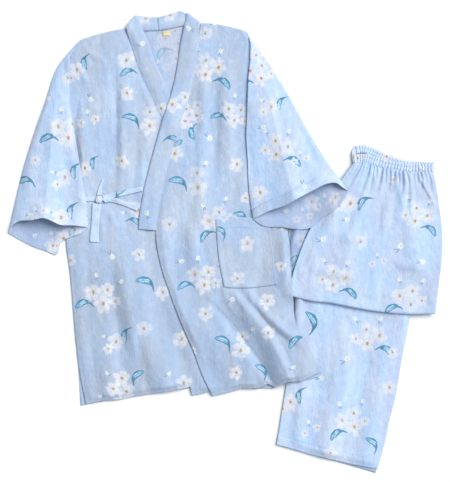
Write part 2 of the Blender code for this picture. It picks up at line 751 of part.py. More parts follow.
def sleeve(name, armhole, sections, cuff_top, cuff_under, folds, below, rise):
    """A sleeve as rings from the armhole to the cuff: an under layer and a layer over it."""
    grid = GRIDS["sleeve"]
    shares = edged(grid.columns, SLEEVE_WIDTH, SLEEVE_ROUNDING)
    rows = [along(armhole, shares)] + [across(s, shares) for s in sections]
    steps = row_steps(rows + [along(cuff_top, shares)], grid.spacing)
    upper = smooth_rows(rows + [along(cuff_top, shares)], steps)
    under = smooth_rows(rows + [along(cuff_under, shares)], steps)
    count = len(upper)
    down = np.linspace(0, 1, count)[:, None]
    bulge = np.sin(np.pi * shares)[None, :] ** 0.8
    floor = settled(lying_on(under, below, grid.spacing * 0.75), passes=5)
    above = settled(lying_on(upper, below, grid.spacing * 0.75), passes=5)
    hollow = SLEEVE_GAP + (SLEEVE_CROWN + rise * down ** 2.2) * bulge + relief(upper, folds)
    top = np.maximum(above, floor) + CLOTH + hollow

    edge = (0, -1)
    inside = slice(1, -1)
    middle = floor[:, edge] + CLOTH + SLEEVE_GAP / 2
    inward = np.stack([inward_of(upper[:, 0], upper[:, 1]), inward_of(upper[:, -1], upper[:, -2])], axis=1)

    def ring(corner, over, beneath):
        corners = np.dstack([corner, middle])
        return np.concatenate([
            corners[:, :1],
            np.dstack([upper[:, inside], over[:, inside]]),
            corners[:, 1:],
            np.dstack([under[:, inside], beneath[:, inside]])[:, ::-1],
        ], axis=1)

    outer = ring(upper[:, edge], top + CLOTH, floor)
    inner = ring(upper[:, edge] + inward * CLOTH, top, floor + CLOTH)
    tube(name, outer, inner)


def ribbon(name, width, below, tip=1.0):
    """A flat strip along a tie's arc, `tip` times as wide at its end."""
    line = across(TIES[name], even(RIBBON_STEPS))
    half = np.linspace(1, tip, len(line))[:, None] * width / 2
    aside = side_of(line)
    xy = np.stack([line + aside * half, line, line - aside * half], axis=1)
    panel(name, xy, settled(lying_on(xy, below, width * 0.7), passes=3), TIE_CLOTH)


def knot(below):
    """A small pillow where the two ties cross."""
    wide, long, high = KNOT_SIZE
    base = float(lying_on(np.array([[KNOT_AT]], float), below, wide / 3)[0, 0])
    points = [(*KNOT_AT, base)]
    for k in range(1, KNOT_RINGS):
        polar = math.pi * k / KNOT_RINGS
        for a in np.linspace(0, 2 * math.pi, KNOT_SIDES, endpoint=False):
            points.append((
                KNOT_AT[0] + wide / 2 * math.sin(polar) * math.cos(a),
                KNOT_AT[1] + long / 2 * math.sin(polar) * math.sin(a),
                base + high / 2 * (1 - math.cos(polar)),
            ))
    points.append((*KNOT_AT, base + high))
    faces = grid_faces(KNOT_RINGS - 1, KNOT_SIDES, 1, closed=True)
    last = 1 + (KNOT_RINGS - 2) * KNOT_SIDES
    for c in range(KNOT_SIDES):
        d = (c + 1) % KNOT_SIDES
        faces.append((0, 1 + c, 1 + d))
        faces.append((len(points) - 1, last + d, last + c))
    solid("tie_knot", points, faces)


def band_seam(edge, lowest):
    """The stretch of a front's edge above `lowest` that carries the band, from its lower end up."""
    return edge[edge[:, 1] > lowest][::-1]


def centre_the_set():
    """Moves the middle of the set's box onto the origin."""
    meshes = [thing.data for thing in bpy.data.objects]
    places = np.array([vertex.co[:2] for mesh in meshes for vertex in mesh.vertices])
    middle = (places.min(axis=0) + places.max(axis=0)) / 2
    for mesh in meshes:
        mesh.transform(Matrix.Translation((-middle[0], -middle[1], 0)))


def trousers():
    hidden_layers()
    lower_leg()
    rise_strip()
    hip()
    waistband()


def jacket():
    back_panel()
    under = front_panel(
        "jacket_front_right", FRONT_RIGHT, FRONT_RIGHT_HEM, FOLDS_FRONT_RIGHT, ("jacket_back",)
    )
    collar_band(
        "collar_band_right", band_seam(under[:, -1], BAND_END_RIGHT), 1, BAND_BACK_RIGHT,
        ("jacket_back",),
    )
    right_side = ("jacket_back", "jacket_front_right", "collar_band_right")
    over = front_panel(
        "jacket_front_left", FRONT_LEFT, FRONT_LEFT_HEM, FOLDS_FRONT_LEFT,
        right_side + ("trousers_leg",),
    )
    collar_band(
        "collar_band_left", band_seam(over[:, 0], BAND_END_LEFT), -1, BAND_BACK_LEFT, right_side
    )
    pocket()
    label()

    ribbon("tie_right_strap", TIE_WIDTH, right_side)
    sleeve(
        "sleeve_right", ARMHOLE_RIGHT, SLEEVE_RIGHT, CUFF_RIGHT_TOP, CUFF_RIGHT_UNDER,
        FOLDS_SLEEVE_RIGHT, right_side + ("tie_right_strap",), CUFF_RISE_RIGHT,
    )
    sleeve(
        "sleeve_left", ARMHOLE_LEFT, SLEEVE_LEFT, CUFF_LEFT_TOP, CUFF_LEFT_UNDER,
        FOLDS_SLEEVE_LEFT,
        ("jacket_back", "jacket_front_left", "pocket", "trousers_hip", "trousers_rise"),
        CUFF_RISE_LEFT,
    )
    ribbon("tie_left_strap", TIE_WIDTH, right_side)
    ribbon("tie_right_tail", TAIL_WIDTH, right_side)
    ribbon("tie_left_tail", TIE_WIDTH, right_side + ("tie_left_strap",))
    ribbon("tie_left_loop", TIE_WIDTH, right_side + ("tie_left_strap",), tip=0.3)
    knot(right_side)


def main():
    clear_scene()
    trousers()
    jacket()
    centre_the_set()


main()
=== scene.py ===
# Kimono pajama set laid flat: the looks of its cloth.
# Sizes are in millimetres from the middle of the set, +Y towards the jacket's neck, +Z up.
# Left and right in a piece's name are the wearer's; in a table they are the reader's.
import math

import bpy
import numpy as np
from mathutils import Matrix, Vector


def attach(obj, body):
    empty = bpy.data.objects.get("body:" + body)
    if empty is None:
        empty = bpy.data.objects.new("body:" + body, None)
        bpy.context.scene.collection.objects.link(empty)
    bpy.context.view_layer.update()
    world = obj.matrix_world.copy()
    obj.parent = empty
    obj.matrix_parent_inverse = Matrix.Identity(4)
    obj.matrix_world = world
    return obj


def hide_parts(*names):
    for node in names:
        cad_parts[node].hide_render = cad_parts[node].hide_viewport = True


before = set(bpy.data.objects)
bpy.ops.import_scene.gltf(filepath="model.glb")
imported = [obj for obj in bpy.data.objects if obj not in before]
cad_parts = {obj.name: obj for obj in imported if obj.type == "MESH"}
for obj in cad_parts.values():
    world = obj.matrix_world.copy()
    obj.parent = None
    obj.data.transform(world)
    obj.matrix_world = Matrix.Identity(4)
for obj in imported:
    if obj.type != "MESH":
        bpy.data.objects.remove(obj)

bpy.ops.object.select_all(action="DESELECT")
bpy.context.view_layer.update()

cloth = {
    "thickness": 1.0,
    "gap": 0.5,            # between pieces that lie on each other
    "spacing": 3.0,        # between a panel's points
    "hemSpacing": 1.6,
    "turnedHem": 0.6,      # how far a turned hem stands up
    "sewnLine": 0.25,      # how deep its stitches pull it in
    "hemWidth": 17.0,
    "edgeRelief": 0.12,    # how much of its crinkle a panel keeps at its edges
    "edgeCreases": 0.4,    # and of its creases
    "calmWidth": 12.0,     # and how far in from them it has all of it
    "loft": 1.6,           # how far its cloth stands off what it lies on
    "lowestRelief": 0.3,   # below this its relief eases off towards 0
    "underside": 0.25,     # height of the lowest face above the floor
}


# Curves and grids

def smoothRows(rows, steps):
    # rows of points, steps[k] of them from row k to the next, on a smooth curve that allows uneven gaps
    rows = np.asarray(rows, float)
    gaps = np.array([max(1e-6, np.sqrt(((b - a) ** 2).sum(axis=-1)).mean()) for a, b in zip(rows, rows[1:])])
    slopes = np.array([(b - a) / gap for a, b, gap in zip(rows, rows[1:], gaps)])
    ways = [slopes[0]]
    for k in range(1, len(slopes)):
        ways.append((slopes[k - 1] * gaps[k] + slopes[k] * gaps[k - 1]) / (gaps[k - 1] + gaps[k]))
    ways.append(slopes[-1])
    out = []
    for k, count in enumerate(steps):
        for t in np.arange(count) / count:
            out.append((1 + 2 * t) * (1 - t) ** 2 * rows[k] + t * t * (3 - 2 * t) * rows[k + 1]
                       + gaps[k] * (t * (1 - t) ** 2 * ways[k] + t * t * (t - 1) * ways[k + 1]))
    out.append(rows[-1])
    return np.array(out)


def curveThrough(points):
    return smoothRows(points, [10] * (len(points) - 1))


def runLength(points):
    # how far each point lies along its line, or down its column of a grid
    return np.cumsum(np.linalg.norm(np.diff(points, axis=0, prepend=points[:1]), axis=-1), axis=0)


def between(points, at, wanted):
    # a line's points at the wanted distances, where `at` holds each point's own
    return np.stack([np.interp(wanted, at, points[:, k]) for k in range(points.shape[1])], axis=-1)


def alongLine(points, shares):
    # points at these shares of a line's length
    points = np.asarray(points, float)
    length = runLength(points)
    return between(points, length, np.asarray(shares) * length[-1])


def arcAcross(section, shares):
    # an arc through a section's left, middle and right
    left, middle, right = (np.array(p, float) for p in section)
    u = np.asarray(shares)[:, None]
    return left * (1 - u) * (1 - 2 * u) + middle * 4 * u * (1 - u) + right * u * (2 * u - 1)


def rowSteps(rows, spacing, lastSpacing=None):
    gaps = [np.linalg.norm(np.subtract(b, a), axis=1).mean() for a, b in zip(rows, rows[1:])]
    wanted = [spacing] * (len(gaps) - 1) + [lastSpacing or spacing]
    return [max(1, round(gap / size)) for gap, size in zip(gaps, wanted)]


def withHem(rows, hem, width):
    # the rows, then one that lies `width` in from the hem, then the hem
    inward = unit(rows[-1] - hem) * width
    return rows + [hem + inward, hem]


def panelPlan(sections, hem, spacing):
    # a panel seen from above, as rows down the cloth, closer together near its hem
    widest = max(math.dist(s[0], s[2]) for s in sections)
    shares = np.linspace(0, 1, int(widest / spacing) + 1)
    rows = [arcAcross(s, shares) for s in sections]
    last = None
    if hem is not None:
        rows = withHem(rows, alongLine(hem, shares), cloth["hemWidth"])
        last = cloth["hemSpacing"]
    return smoothRows(rows, rowSteps(rows, spacing, last))


def asideOf(curve):
    # unit vectors across a curve, to the reader's left as it runs down
    tangent = np.gradient(curve, axis=0)
    tangent /= np.linalg.norm(tangent, axis=1)[:, None] + 1e-9
    return np.stack([tangent[:, 1], -tangent[:, 0]], axis=1)


def unit(vectors):
    return vectors / (np.linalg.norm(vectors, axis=-1, keepdims=True) + 1e-12)


def gridNormals(grid, wrap=False):
    # normals of a grid whose rows run down the cloth and whose columns run to the reader's right
    down = np.gradient(grid, axis=0)
    if wrap:
        beside = (np.roll(grid, -1, axis=1) - np.roll(grid, 1, axis=1)) / 2
    else:
        beside = np.gradient(grid, axis=1)
    return unit(np.cross(beside, -down))


def step(low, high, value):
    # a smooth step from 0 at `low` to 1 at `high`
    t = np.clip((value - low) / (high - low), 0, 1)
    return t * t * (3 - 2 * t)


# Unevenness of the cloth

crinkles = {"broad": 2.5, "middle": 1.1, "fine": 0.5}  # heights of the three sizes of crinkle
latticeSide = 96
latticeShift = 480.0  # keeps the places that are looked up above 0


def blended(table, x, y, right, above, share):
    # a table's value between the four cells about a point
    across, up = share[..., 0], share[..., 1]
    low = table[x, y] * (1 - across) + table[right, y] * across
    high = table[x, above] * (1 - across) + table[right, above] * across
    return low * (1 - up) + high * up


def softNoise(points, size, seed, stretch=1.0):
    # values from -1 to 1 that change over about `size`, drawn out along Y by `stretch`
    lattice = np.random.default_rng(seed).uniform(-1, 1, (latticeSide, latticeSide))
    at = points / np.array([size, size * stretch]) + latticeShift
    cell = np.floor(at).astype(int)
    f = at - cell
    x, y = cell[..., 0] % latticeSide, cell[..., 1] % latticeSide
    right, above = (x + 1) % latticeSide, (y + 1) % latticeSide
    return blended(lattice, x, y, right, above, f * f * (3 - 2 * f))


def gauzeRelief(points, seed):
    # the crinkle of double gauze, drawn out along the grain
    return (crinkles["broad"] * softNoise(points, 62, seed, 1.6)
            + crinkles["middle"] * softNoise(points, 17, seed + 1, 3.4)
            + crinkles["fine"] * softNoise(points, 8, seed + 2, 2.2))


creaseEnds = {"points": 61, "rise": 0.45, "fall": 0.35}  # shares of its run where it swells and dies away


def crease(start, middle, end, left, right, height, blunt=1.0, tent=0.0, lean=0.0, hem=False):
    # a ridge, or a trough if its height is below 0, with its widths to both sides of its run;
    # below 1 `blunt` steepens its feet, `tent` sharpens its crest, `lean` pushes it over to one side,
    # and with `hem` it doesn't die away at its end
    return dict(path=(start, middle, end), left=left, right=right, height=height, blunt=blunt,
                tent=tent, lean=lean, hem=hem)


def creaseRelief(xy, creases):
    # heights of the creases at each point, and how far they lean the cloth over
    flat = xy.reshape(-1, 2)
    height = np.zeros(len(flat))
    shift = np.zeros((len(flat), 2))
    t = np.linspace(0, 1, creaseEnds["points"])
    for c in creases:
        path = arcAcross(c["path"], t)
        reach = max(c["left"], c["right"])
        low, high = path.min(axis=0) - reach, path.max(axis=0) + reach
        near = np.flatnonzero(np.all((flat > low) & (flat < high), axis=1))
        if not len(near):
            continue
        away = flat[near, None] - path[None]
        nearest = np.argmin((away ** 2).sum(axis=2), axis=1)
        tangent = unit(np.gradient(path, axis=0))[nearest]
        off = away[np.arange(len(near)), nearest]
        side = tangent[:, 0] * off[:, 1] - tangent[:, 1] * off[:, 0]
        beyond = np.abs((off * tangent).sum(axis=1))
        wide = np.where(side > 0, c["right"], c["left"])
        apart = np.clip(np.hypot(side, beyond) / wide, 0, 1)
        at = t[nearest]
        rise = np.sin(np.clip(at / creaseEnds["rise"], 0, 1) * math.pi / 2) ** 2
        if not c["hem"]:
            rise = rise * np.sin(np.clip((1 - at) / creaseEnds["fall"], 0, 1) * math.pi / 2) ** 2
        profile = ((1 - apart ** 2) ** 2) ** c["blunt"] * (1 - c["tent"]) + (1 - apart) ** 1.2 * c["tent"]
        profile *= rise
        height[near] += c["height"] * profile
        over = np.stack([-tangent[:, 1], tangent[:, 0]], axis=1)
        shift[near] += over * (c["lean"] * c["height"] * profile)[:, None]
    return height.reshape(xy.shape[:2]), shift.reshape(xy.shape)


# The pile: how high the pieces lie so far, on a fine grid of cells

pileCell = 2.5
pileCorner = (-480.0, -510.0)
pile = np.zeros((385, 409))


def addToPile(grid):
    # raises the pile to a piece's upper face
    dense = grid
    for axis in (0, 1):
        count = dense.shape[axis]
        half = (dense.take(range(1, count), axis) + dense.take(range(count - 1), axis)) / 2
        shape = list(dense.shape)
        shape[axis] = 2 * count - 1
        finer = np.empty(shape)
        index = [slice(None)] * 3
        index[axis] = slice(0, None, 2)
        finer[tuple(index)] = dense
        index[axis] = slice(1, None, 2)
        finer[tuple(index)] = half
        dense = finer
    points = dense.reshape(-1, 3)
    cell = np.rint((points[:, :2] - pileCorner) / pileCell).astype(int)
    cell = np.clip(cell, 0, np.array(pile.shape) - 1)
    np.maximum.at(pile, (cell[:, 0], cell[:, 1]), points[:, 2])


def pileUnder(xy, cells=1):
    # the pile's height within so many cells of each point
    widened = pile.copy()
    for dx in range(-cells, cells + 1):
        for dy in range(-cells, cells + 1):
            if dx * dx + dy * dy <= cells * cells + 1:
                widened = np.maximum(widened, np.roll(pile, (dx, dy), axis=(0, 1)))
    at = (xy - np.array(pileCorner)) / pileCell
    cell = np.clip(np.floor(at).astype(int), 0, np.array(pile.shape) - 2)
    x, y = cell[..., 0], cell[..., 1]
    return blended(widened, x, y, x + 1, y + 1, at - cell)


def settle(need, passes):
    # cloth that hangs gently over what it lies on
    z = need.copy()
    for _ in range(passes):
        wide = np.pad(z, 1, mode="edge")
        z = np.maximum(need, (wide[:-2, 1:-1] + wide[2:, 1:-1] + wide[1:-1, :-2] + wide[1:-1, 2:]) / 4)
    return z


def restOn(xy, passes):
    return settle(pileUnder(xy) + cloth["gap"], passes)


def fromEdge(grid, side):
    # the grid with its first row on this edge
    turned = {"top": grid, "bottom": grid[::-1], "left": np.swapaxes(grid, 0, 1),
              "right": np.swapaxes(grid[:, ::-1], 0, 1)}
    return turned[side]


def inFrom(grid, side):
    # how far each point lies in from an edge, along the cloth
    length = runLength(fromEdge(grid, side))
    back = {"top": length, "bottom": length[::-1], "left": length.T, "right": length.T[:, ::-1]}
    return back[side]


def turnedEdges(xy, edges):
    # a turned edge stands up by a layer of cloth; (width, top) says how high up the picture it reaches
    height = np.zeros(xy.shape[:2])
    for side, width in edges.items():
        reach = 1.0
        if isinstance(width, tuple):
            width, top = width
            reach = step(top + 4, top - 4, xy[..., 1])
        inward = inFrom(xy, side)
        folded = cloth["turnedHem"] * (1 - step(width - 1.5, width + 1.5, inward))
        sewn = cloth["sewnLine"] * np.exp(-((inward - width) / 1.6) ** 2)
        height = np.maximum(height, (folded - sewn) * reach)
    return height


# The print: sprigs of blossoms, leaves and buds, drawn for this set

# each motif's place across and along, its size and, for leaves and buds, its turn in degrees
kits = {
    "trio": {
        "blossoms": ((-15, 7, 20), (14, 12, 18), (5, -16, 20), (30, -12, 13)),
        "leaves": ((-34, -19, 20, 15),),
        "buds": ((-8, 38, 9, 80), (40, 26, 9, 30)),
    },
    "pairLeaf": {"blossoms": ((0, 0, 20), (-15, -15, 12)), "leaves": ((21, 13, 18, 80),),
                 "buds": ((-22, 10, 8, 150),)},
    "underLeaf": {"blossoms": ((0, 0, 20), (18, 10, 13)), "leaves": ((4, -26, 18, 20),),
                  "buds": ((30, -10, 8, -20),)},
    "leafTwo": {
        "blossoms": ((37, -8, 20), (35, 20, 15)),
        "leaves": ((0, 0, 21, -20),),
        "buds": ((52, 36, 8, 50),),
    },
    "single": {"blossoms": ((0, 0, 18),), "leaves": (), "buds": ()},
    "leaf": {"blossoms": (), "leaves": ((0, 0, 21, -20),), "buds": ()},
    "bud": {"blossoms": (), "leaves": (), "buds": ((0, 0, 10, 0),)},
    "twig": {"blossoms": ((-14, -4, 11), (16, 4, 11)), "leaves": (), "buds": ((0, 16, 8, 80),)},
}


def sprig(kind, x, y, turn, size=1.0):
    # a kit set down at a place, turned in degrees, and mirrored where its size is below 0
    flip = math.copysign(1, size)
    cosine, sine = math.cos(math.radians(turn)), math.sin(math.radians(turn))
    found = {"blossoms": [], "leaves": [], "buds": []}
    for group, motifs in kits[kind].items():
        for across, along, radius, *angle in motifs:
            a, b = flip * across * abs(size), along * abs(size)
            place = (x + a * cosine - b * sine, y + a * sine + b * cosine)
            seed = math.sin(place[0] * 12.99 + place[1] * 78.2) * 43758.5 % 1
            heading = math.radians(angle[0] if flip > 0 else 180 - angle[0]) if angle else 0.0
            found[group].append((*place, radius * abs(size), heading + math.radians(turn), flip, seed))
    return found


def moved(sprigs, dx):
    # the same sprigs, set off to the flat place of another layer
    out = []
    for found in sprigs:
        out.append({group: [(x + dx, y, *rest) for x, y, *rest in motifs] for group, motifs in found.items()})
    return out


farAway = (9.0, 9.0, 0.0)


def motifCorners(corners, motifs, skip=None):
    # each face's nearest motif, and its corners' places on that motif
    out = np.tile(np.array(farAway), (*corners.shape[:2], 1))
    if not len(motifs):
        return out, None
    table = np.array(motifs, float)
    centre = corners.mean(axis=1)
    apart = np.linalg.norm(centre[:, None] - table[None, :, :2], axis=2) - table[None, :, 2]
    if skip is not None:
        apart[np.arange(len(apart)), skip] = 1e6
    nearest = apart.argmin(axis=1)
    near = apart[np.arange(len(apart)), nearest] < 12
    chosen = table[nearest[near]]
    off = corners[near] - chosen[:, None, :2]
    cosine, sine = np.cos(chosen[:, 3])[:, None], np.sin(chosen[:, 3])[:, None]
    u = (off[..., 0] * cosine + off[..., 1] * sine) / chosen[:, 2][:, None]
    v = (off[..., 1] * cosine - off[..., 0] * sine) / chosen[:, 2][:, None] * chosen[:, 4][:, None]
    seeds = np.broadcast_to(chosen[:, 5][:, None], u.shape)
    out[near] = np.stack([u, v, seeds], axis=2)
    return out, nearest


def chartPrint(corners, sprigs):
    # the attributes that the print is drawn from, from each face corner's place on the flat cloth
    kinds = ("blossoms", "leaves", "buds")
    groups = {group: [motif for found in sprigs for motif in found[group]] for group in kinds}
    near, first = motifCorners(corners, groups["blossoms"])
    following = np.tile(np.array(farAway), (*corners.shape[:2], 1))
    if len(groups["blossoms"]) > 1:
        following = motifCorners(corners, groups["blossoms"], skip=first)[0]
    grain = np.concatenate([corners * 0.001, np.zeros((*corners.shape[:2], 1))], axis=2)
    return {
        "blossomNear": near,
        "blossomNext": following,
        "leafNear": motifCorners(corners, groups["leaves"])[0],
        "budNear": motifCorners(corners, groups["buds"])[0],
        "grain": grain,
    }


# Meshes

def flatArea(corners):
    if corners is None:
        return 0.0
    e, f = corners[:, 2] - corners[:, 0], corners[:, 3] - corners[:, 1]
    return float(np.abs(e[:, 0] * f[:, 1] - e[:, 1] * f[:, 0]).sum() / 4e6)


def makePiece(name, points, quads, materials, finish=None, corners=None, sprigs=(), caps=()):
    # a closed mesh of quads, and of rings of points as end caps, turned so that its faces point outwards
    a, b, c, d = (points[quads[:, k]] for k in range(4))
    inverted = (a * (np.cross(b, c) + np.cross(c, d))).sum() < 0
    turn = -1 if inverted else 1
    rings = [np.asarray(cap)[::turn] for cap, capFlat in caps]
    loops = np.concatenate([quads[:, ::turn].ravel(), *rings])
    sizes = np.array([4] * len(quads) + [len(ring) for ring in rings])
    mesh = bpy.data.meshes.new(name)
    mesh.vertices.add(len(points))
    mesh.vertices.foreach_set("co", (points * 0.001).astype(np.float32).ravel())
    mesh.loops.add(len(loops))
    mesh.loops.foreach_set("vertex_index", loops.astype(np.int32))
    mesh.polygons.add(len(sizes))
    mesh.polygons.foreach_set("loop_start", (np.cumsum(sizes) - sizes).astype(np.int32))
    for material in materials:
        mesh.materials.append(material)
    if finish is not None:
        mesh.polygons.foreach_set("material_index", finish.astype(np.int32))
    mesh.update(calc_edges=True)
    mesh.shade_smooth()
    if corners is not None:
        charts = [chartPrint(corners[:, ::turn], sprigs)]
        charts += [chartPrint(capFlat[None, ::turn], sprigs) for cap, capFlat in caps]
        for key in charts[0]:
            made = mesh.attributes.new(key, "FLOAT_VECTOR", "CORNER")
            values = np.concatenate([chart[key].reshape(-1, 3) for chart in charts])
            made.data.foreach_set("vector", values.astype(np.float32).ravel())
    piece = bpy.data.objects.new(name, mesh)
    bpy.context.scene.collection.objects.link(piece)
    print(name, len(quads) * 2, "triangles", round(flatArea(corners), 4), "m2 flat")
    return piece


def quadsOf(rows, columns, width, skipped=None):
    # quads between rows, over these columns of a grid that is `width` wide
    columns = np.asarray(columns)
    kept = [k for k in range(len(columns) - 1) if k != skipped]
    left, right = columns[kept], columns[[k + 1 for k in kept]]
    r = np.arange(rows - 1)[:, None] * width
    return np.stack([r + left, r + width + left, r + width + right, r + right], axis=2).reshape(-1, 4)


def tubePiece(name, grid, materials, sprigs=()):
    # a closed tube of rings; its first cap faces up the cloth, and its last one down
    rows, around = grid.shape[:2]
    columns = np.append(np.arange(around), 0)
    corners = grid[:, columns, :2].reshape(-1, 2)[quadsOf(rows, np.arange(around + 1), around + 1)]
    caps = [(np.arange(around), grid[0, :, :2]),
            (np.arange(around)[::-1] + (rows - 1) * around, grid[-1, ::-1, :2])]
    return makePiece(name, grid.reshape(-1, 3), quadsOf(rows, columns, around), materials, None, corners,
                     sprigs, caps)


def shell(name, outer, inner, flat, materials, sprigs, columns=None, skipped=None, turnedBack=None):
    # a thin closed sheet between two grids of points, its rims rounded
    # flat gives each point's place on the cut cloth; columns says which column of points each of its
    # columns has, for a tube, whose two layers are parted at `skipped`
    rows, width = outer.shape[:2]
    closed = columns is not None
    columns = np.arange(width) if columns is None else np.asarray(columns)
    flatWidth = len(columns)
    count = rows * width
    upper = quadsOf(rows, columns, width, skipped)
    upperFlat = quadsOf(rows, np.arange(flatWidth), flatWidth, skipped)

    top = np.array([k for k in range(flatWidth - 1) if k != skipped])
    first, last = 0, rows - 1
    ends = [(first, top, first, top + 1), (last, top + 1, last, top)]
    if not closed:
        side = np.arange(rows - 1)
        ends += [(side + 1, 0, side, 0), (side, flatWidth - 1, side + 1, flatWidth - 1)]
    fromRow, fromColumn, toRow, toColumn = (
        np.concatenate([np.broadcast_arrays(*end)[k] for end in ends]) for k in range(4))
    a, b = fromRow * width + columns[fromColumn], toRow * width + columns[toColumn]
    flatA, flatB = fromRow * flatWidth + fromColumn, toRow * flatWidth + toColumn

    outward = np.zeros_like(outer)
    outward[0] += unit(outer[0] - outer[1])
    outward[-1] += unit(outer[-1] - outer[-2])
    if not closed:
        outward[:, 0] += unit(outer[:, 0] - outer[:, 1])
        outward[:, -1] += unit(outer[:, -1] - outer[:, -2])
    rim, place = np.unique(np.concatenate([a, b]), return_inverse=True)
    apart = np.linalg.norm(outer - inner, axis=2).reshape(-1, 1)[rim]
    middle = ((outer + inner) / 2).reshape(-1, 3)[rim] + unit(outward.reshape(-1, 3)[rim]) * apart * 0.35
    midA, midB = 2 * count + place[:len(a)], 2 * count + place[len(a):]

    points = np.concatenate([outer.reshape(-1, 3), inner.reshape(-1, 3), middle])
    quads = np.concatenate([
        upper, upper[:, ::-1] + count,
        np.stack([a, b, midB, midA], axis=1), np.stack([midA, midB, b + count, a + count], axis=1)])
    rimFlat = np.stack([flatA, flatB, flatB, flatA], axis=1)
    flatIndex = np.concatenate([upperFlat, upperFlat[:, ::-1], rimFlat, rimFlat])
    corners = flat.reshape(-1, 2)[flatIndex]

    finish = np.zeros(len(quads), int)
    under = slice(len(upper), 2 * len(upper))
    if len(materials) > 1:
        finish[under] = 1
        if turnedBack is not None:
            showing = turnedBack.reshape(-1)[upperFlat].mean(axis=1) > 0.55
            finish[under] = np.where(showing, 0, 1)
    return makePiece(name, points, quads, materials, finish, corners, sprigs)


def turnedBackOf(xy, edges):
    # where a turned edge shows the cloth's right side on its reverse
    shown = np.zeros(xy.shape[:2])
    for side, width in edges.items():
        if not isinstance(width, tuple):
            shown = np.maximum(shown, (inFrom(xy, side) < width + 0.3).astype(float))
    return shown


def finishPiece(piece, node):
    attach(piece, "root")
    if node:
        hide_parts(node)


def eased(least, share):
    # from `least` up to 1 as the share goes from 0 to 1
    return least + (1 - least) * share


def edgeCalm(xy):
    # 1 inside a panel, and near 0 along its free edges, which lie flush
    nearest = np.min([inFrom(xy, side) for side in ("left", "right", "bottom")], axis=0)
    return eased(cloth["edgeRelief"], step(0, cloth["calmWidth"], nearest))


def keptUp(height):
    # the heights, eased off towards 0 where they fall below the lowest relief
    lowest = cloth["lowestRelief"]
    return np.where(height > lowest, height, lowest * np.exp(np.minimum(height - lowest, 0) / lowest))


def layPanel(name, settings, materials, flipped=False):
    # a panel: its plan from its sections, settled on the pile, with its creases and its turned edges
    xy = panelPlan(settings["sections"], settings.get("hem"), settings.get("spacing", cloth["spacing"]))
    base = restOn(xy, settings["passes"])
    height, shift = creaseRelief(xy, settings["creases"])
    crinkle = gauzeRelief(xy, settings["seed"]) * settings.get("crinkle", 1.0)
    edges = settings["turned"]
    calm = edgeCalm(xy)
    lift = (settings.get("loft", cloth["loft"]) + crinkle) * calm
    lift += height * eased(cloth["edgeCreases"], calm)
    lift += turnedEdges(xy, edges)
    middle = np.dstack([xy + shift, base + keptUp(lift) + cloth["thickness"]])
    inner = middle - gridNormals(middle) * cloth["thickness"]
    inner[..., 2] = np.maximum(inner[..., 2], cloth["underside"])
    addToPile(middle)
    backs = turnedBackOf(xy, edges)
    if flipped:
        piece = shell(name, inner[:, ::-1], middle[:, ::-1], xy[:, ::-1], materials, settings["sprigs"],
                      turnedBack=backs[:, ::-1])
    else:
        piece = shell(name, middle, inner, xy, materials, settings["sprigs"], turnedBack=backs)
    return {"piece": piece, "top": middle, "xy": xy}


# Materials

def isSocket(value):
    return isinstance(value, bpy.types.NodeSocket)


def add(kind, *inputs, **settings):
    # a node in the tree of the sockets that it is linked to, and its first output
    tree = next(value.id_data for value in inputs if isSocket(value))
    made = tree.nodes.new(kind)
    for key, value in settings.items():
        setattr(made, key, value)
    for socket, value in zip(made.inputs, inputs):
        if isSocket(value):
            tree.links.new(value, socket)
        elif value is not None:
            socket.default_value = value
    return made.outputs[0]


def calc(operation, a, b=0.0):
    return add("ShaderNodeMath", a, b, operation=operation)


def plus(a, b):
    return calc("ADD", a, b)


def minus(a, b):
    return calc("SUBTRACT", a, b)


def times(a, b):
    return calc("MULTIPLY", a, b)


def fade(value, low, high, start=0.0, end=1.0):
    # start at `low`, end at `high`, smooth between them
    return add("ShaderNodeMapRange", value, low, high, start, end, interpolation_type="SMOOTHSTEP")


def blendColour(factor, a, b):
    tree = factor.id_data
    made = tree.nodes.new("ShaderNodeMix")
    made.data_type = "RGBA"
    tree.links.new(factor, made.inputs[0])
    for index, value in ((6, a), (7, b)):
        if isSocket(value):
            tree.links.new(value, made.inputs[index])
        else:
            made.inputs[index].default_value = (*value, 1.0)
    return made.outputs[2]


def noiseAt(vector, scale, detail=2.0):
    return add("ShaderNodeTexNoise", vector, None, scale, detail)


def stretched(vector, x, y, z=1.0):
    return add("ShaderNodeVectorMath", vector, (x, y, z), operation="MULTIPLY")


def motifAttribute(tree, name):
    made = tree.nodes.new("ShaderNodeAttribute")
    made.attribute_name = name
    parts = tree.nodes.new("ShaderNodeSeparateXYZ")
    tree.links.new(made.outputs["Vector"], parts.inputs[0])
    return made.outputs["Vector"], *parts.outputs


printColours = {
    "petal": (0.78, 0.775, 0.80),
    "petalShade": (0.60, 0.69, 0.84),
    "petalPink": (0.80, 0.71, 0.69),
    "glow": (0.80, 0.70, 0.45),
    "heart": (0.42, 0.26, 0.11),
    "leafDark": (0.035, 0.185, 0.30),
    "leafBlue": (0.08, 0.31, 0.49),
    "leafLight": (0.18, 0.44, 0.65),
    "leafShine": (0.66, 0.82, 0.92),
    "bud": (0.85, 0.87, 0.86),
    "budGreen": (0.66, 0.66, 0.40),
    "stem": (0.16, 0.25, 0.42),
}


def ringDistance(x, y, wide, long, dx, dy=0.0):
    # distance from (dx, dy) as a share of an ellipse's half widths
    a = calc("DIVIDE", minus(x, dx), wide)
    b = calc("DIVIDE", minus(y, dy), long)
    return calc("SQRT", plus(times(a, a), times(b, b)))


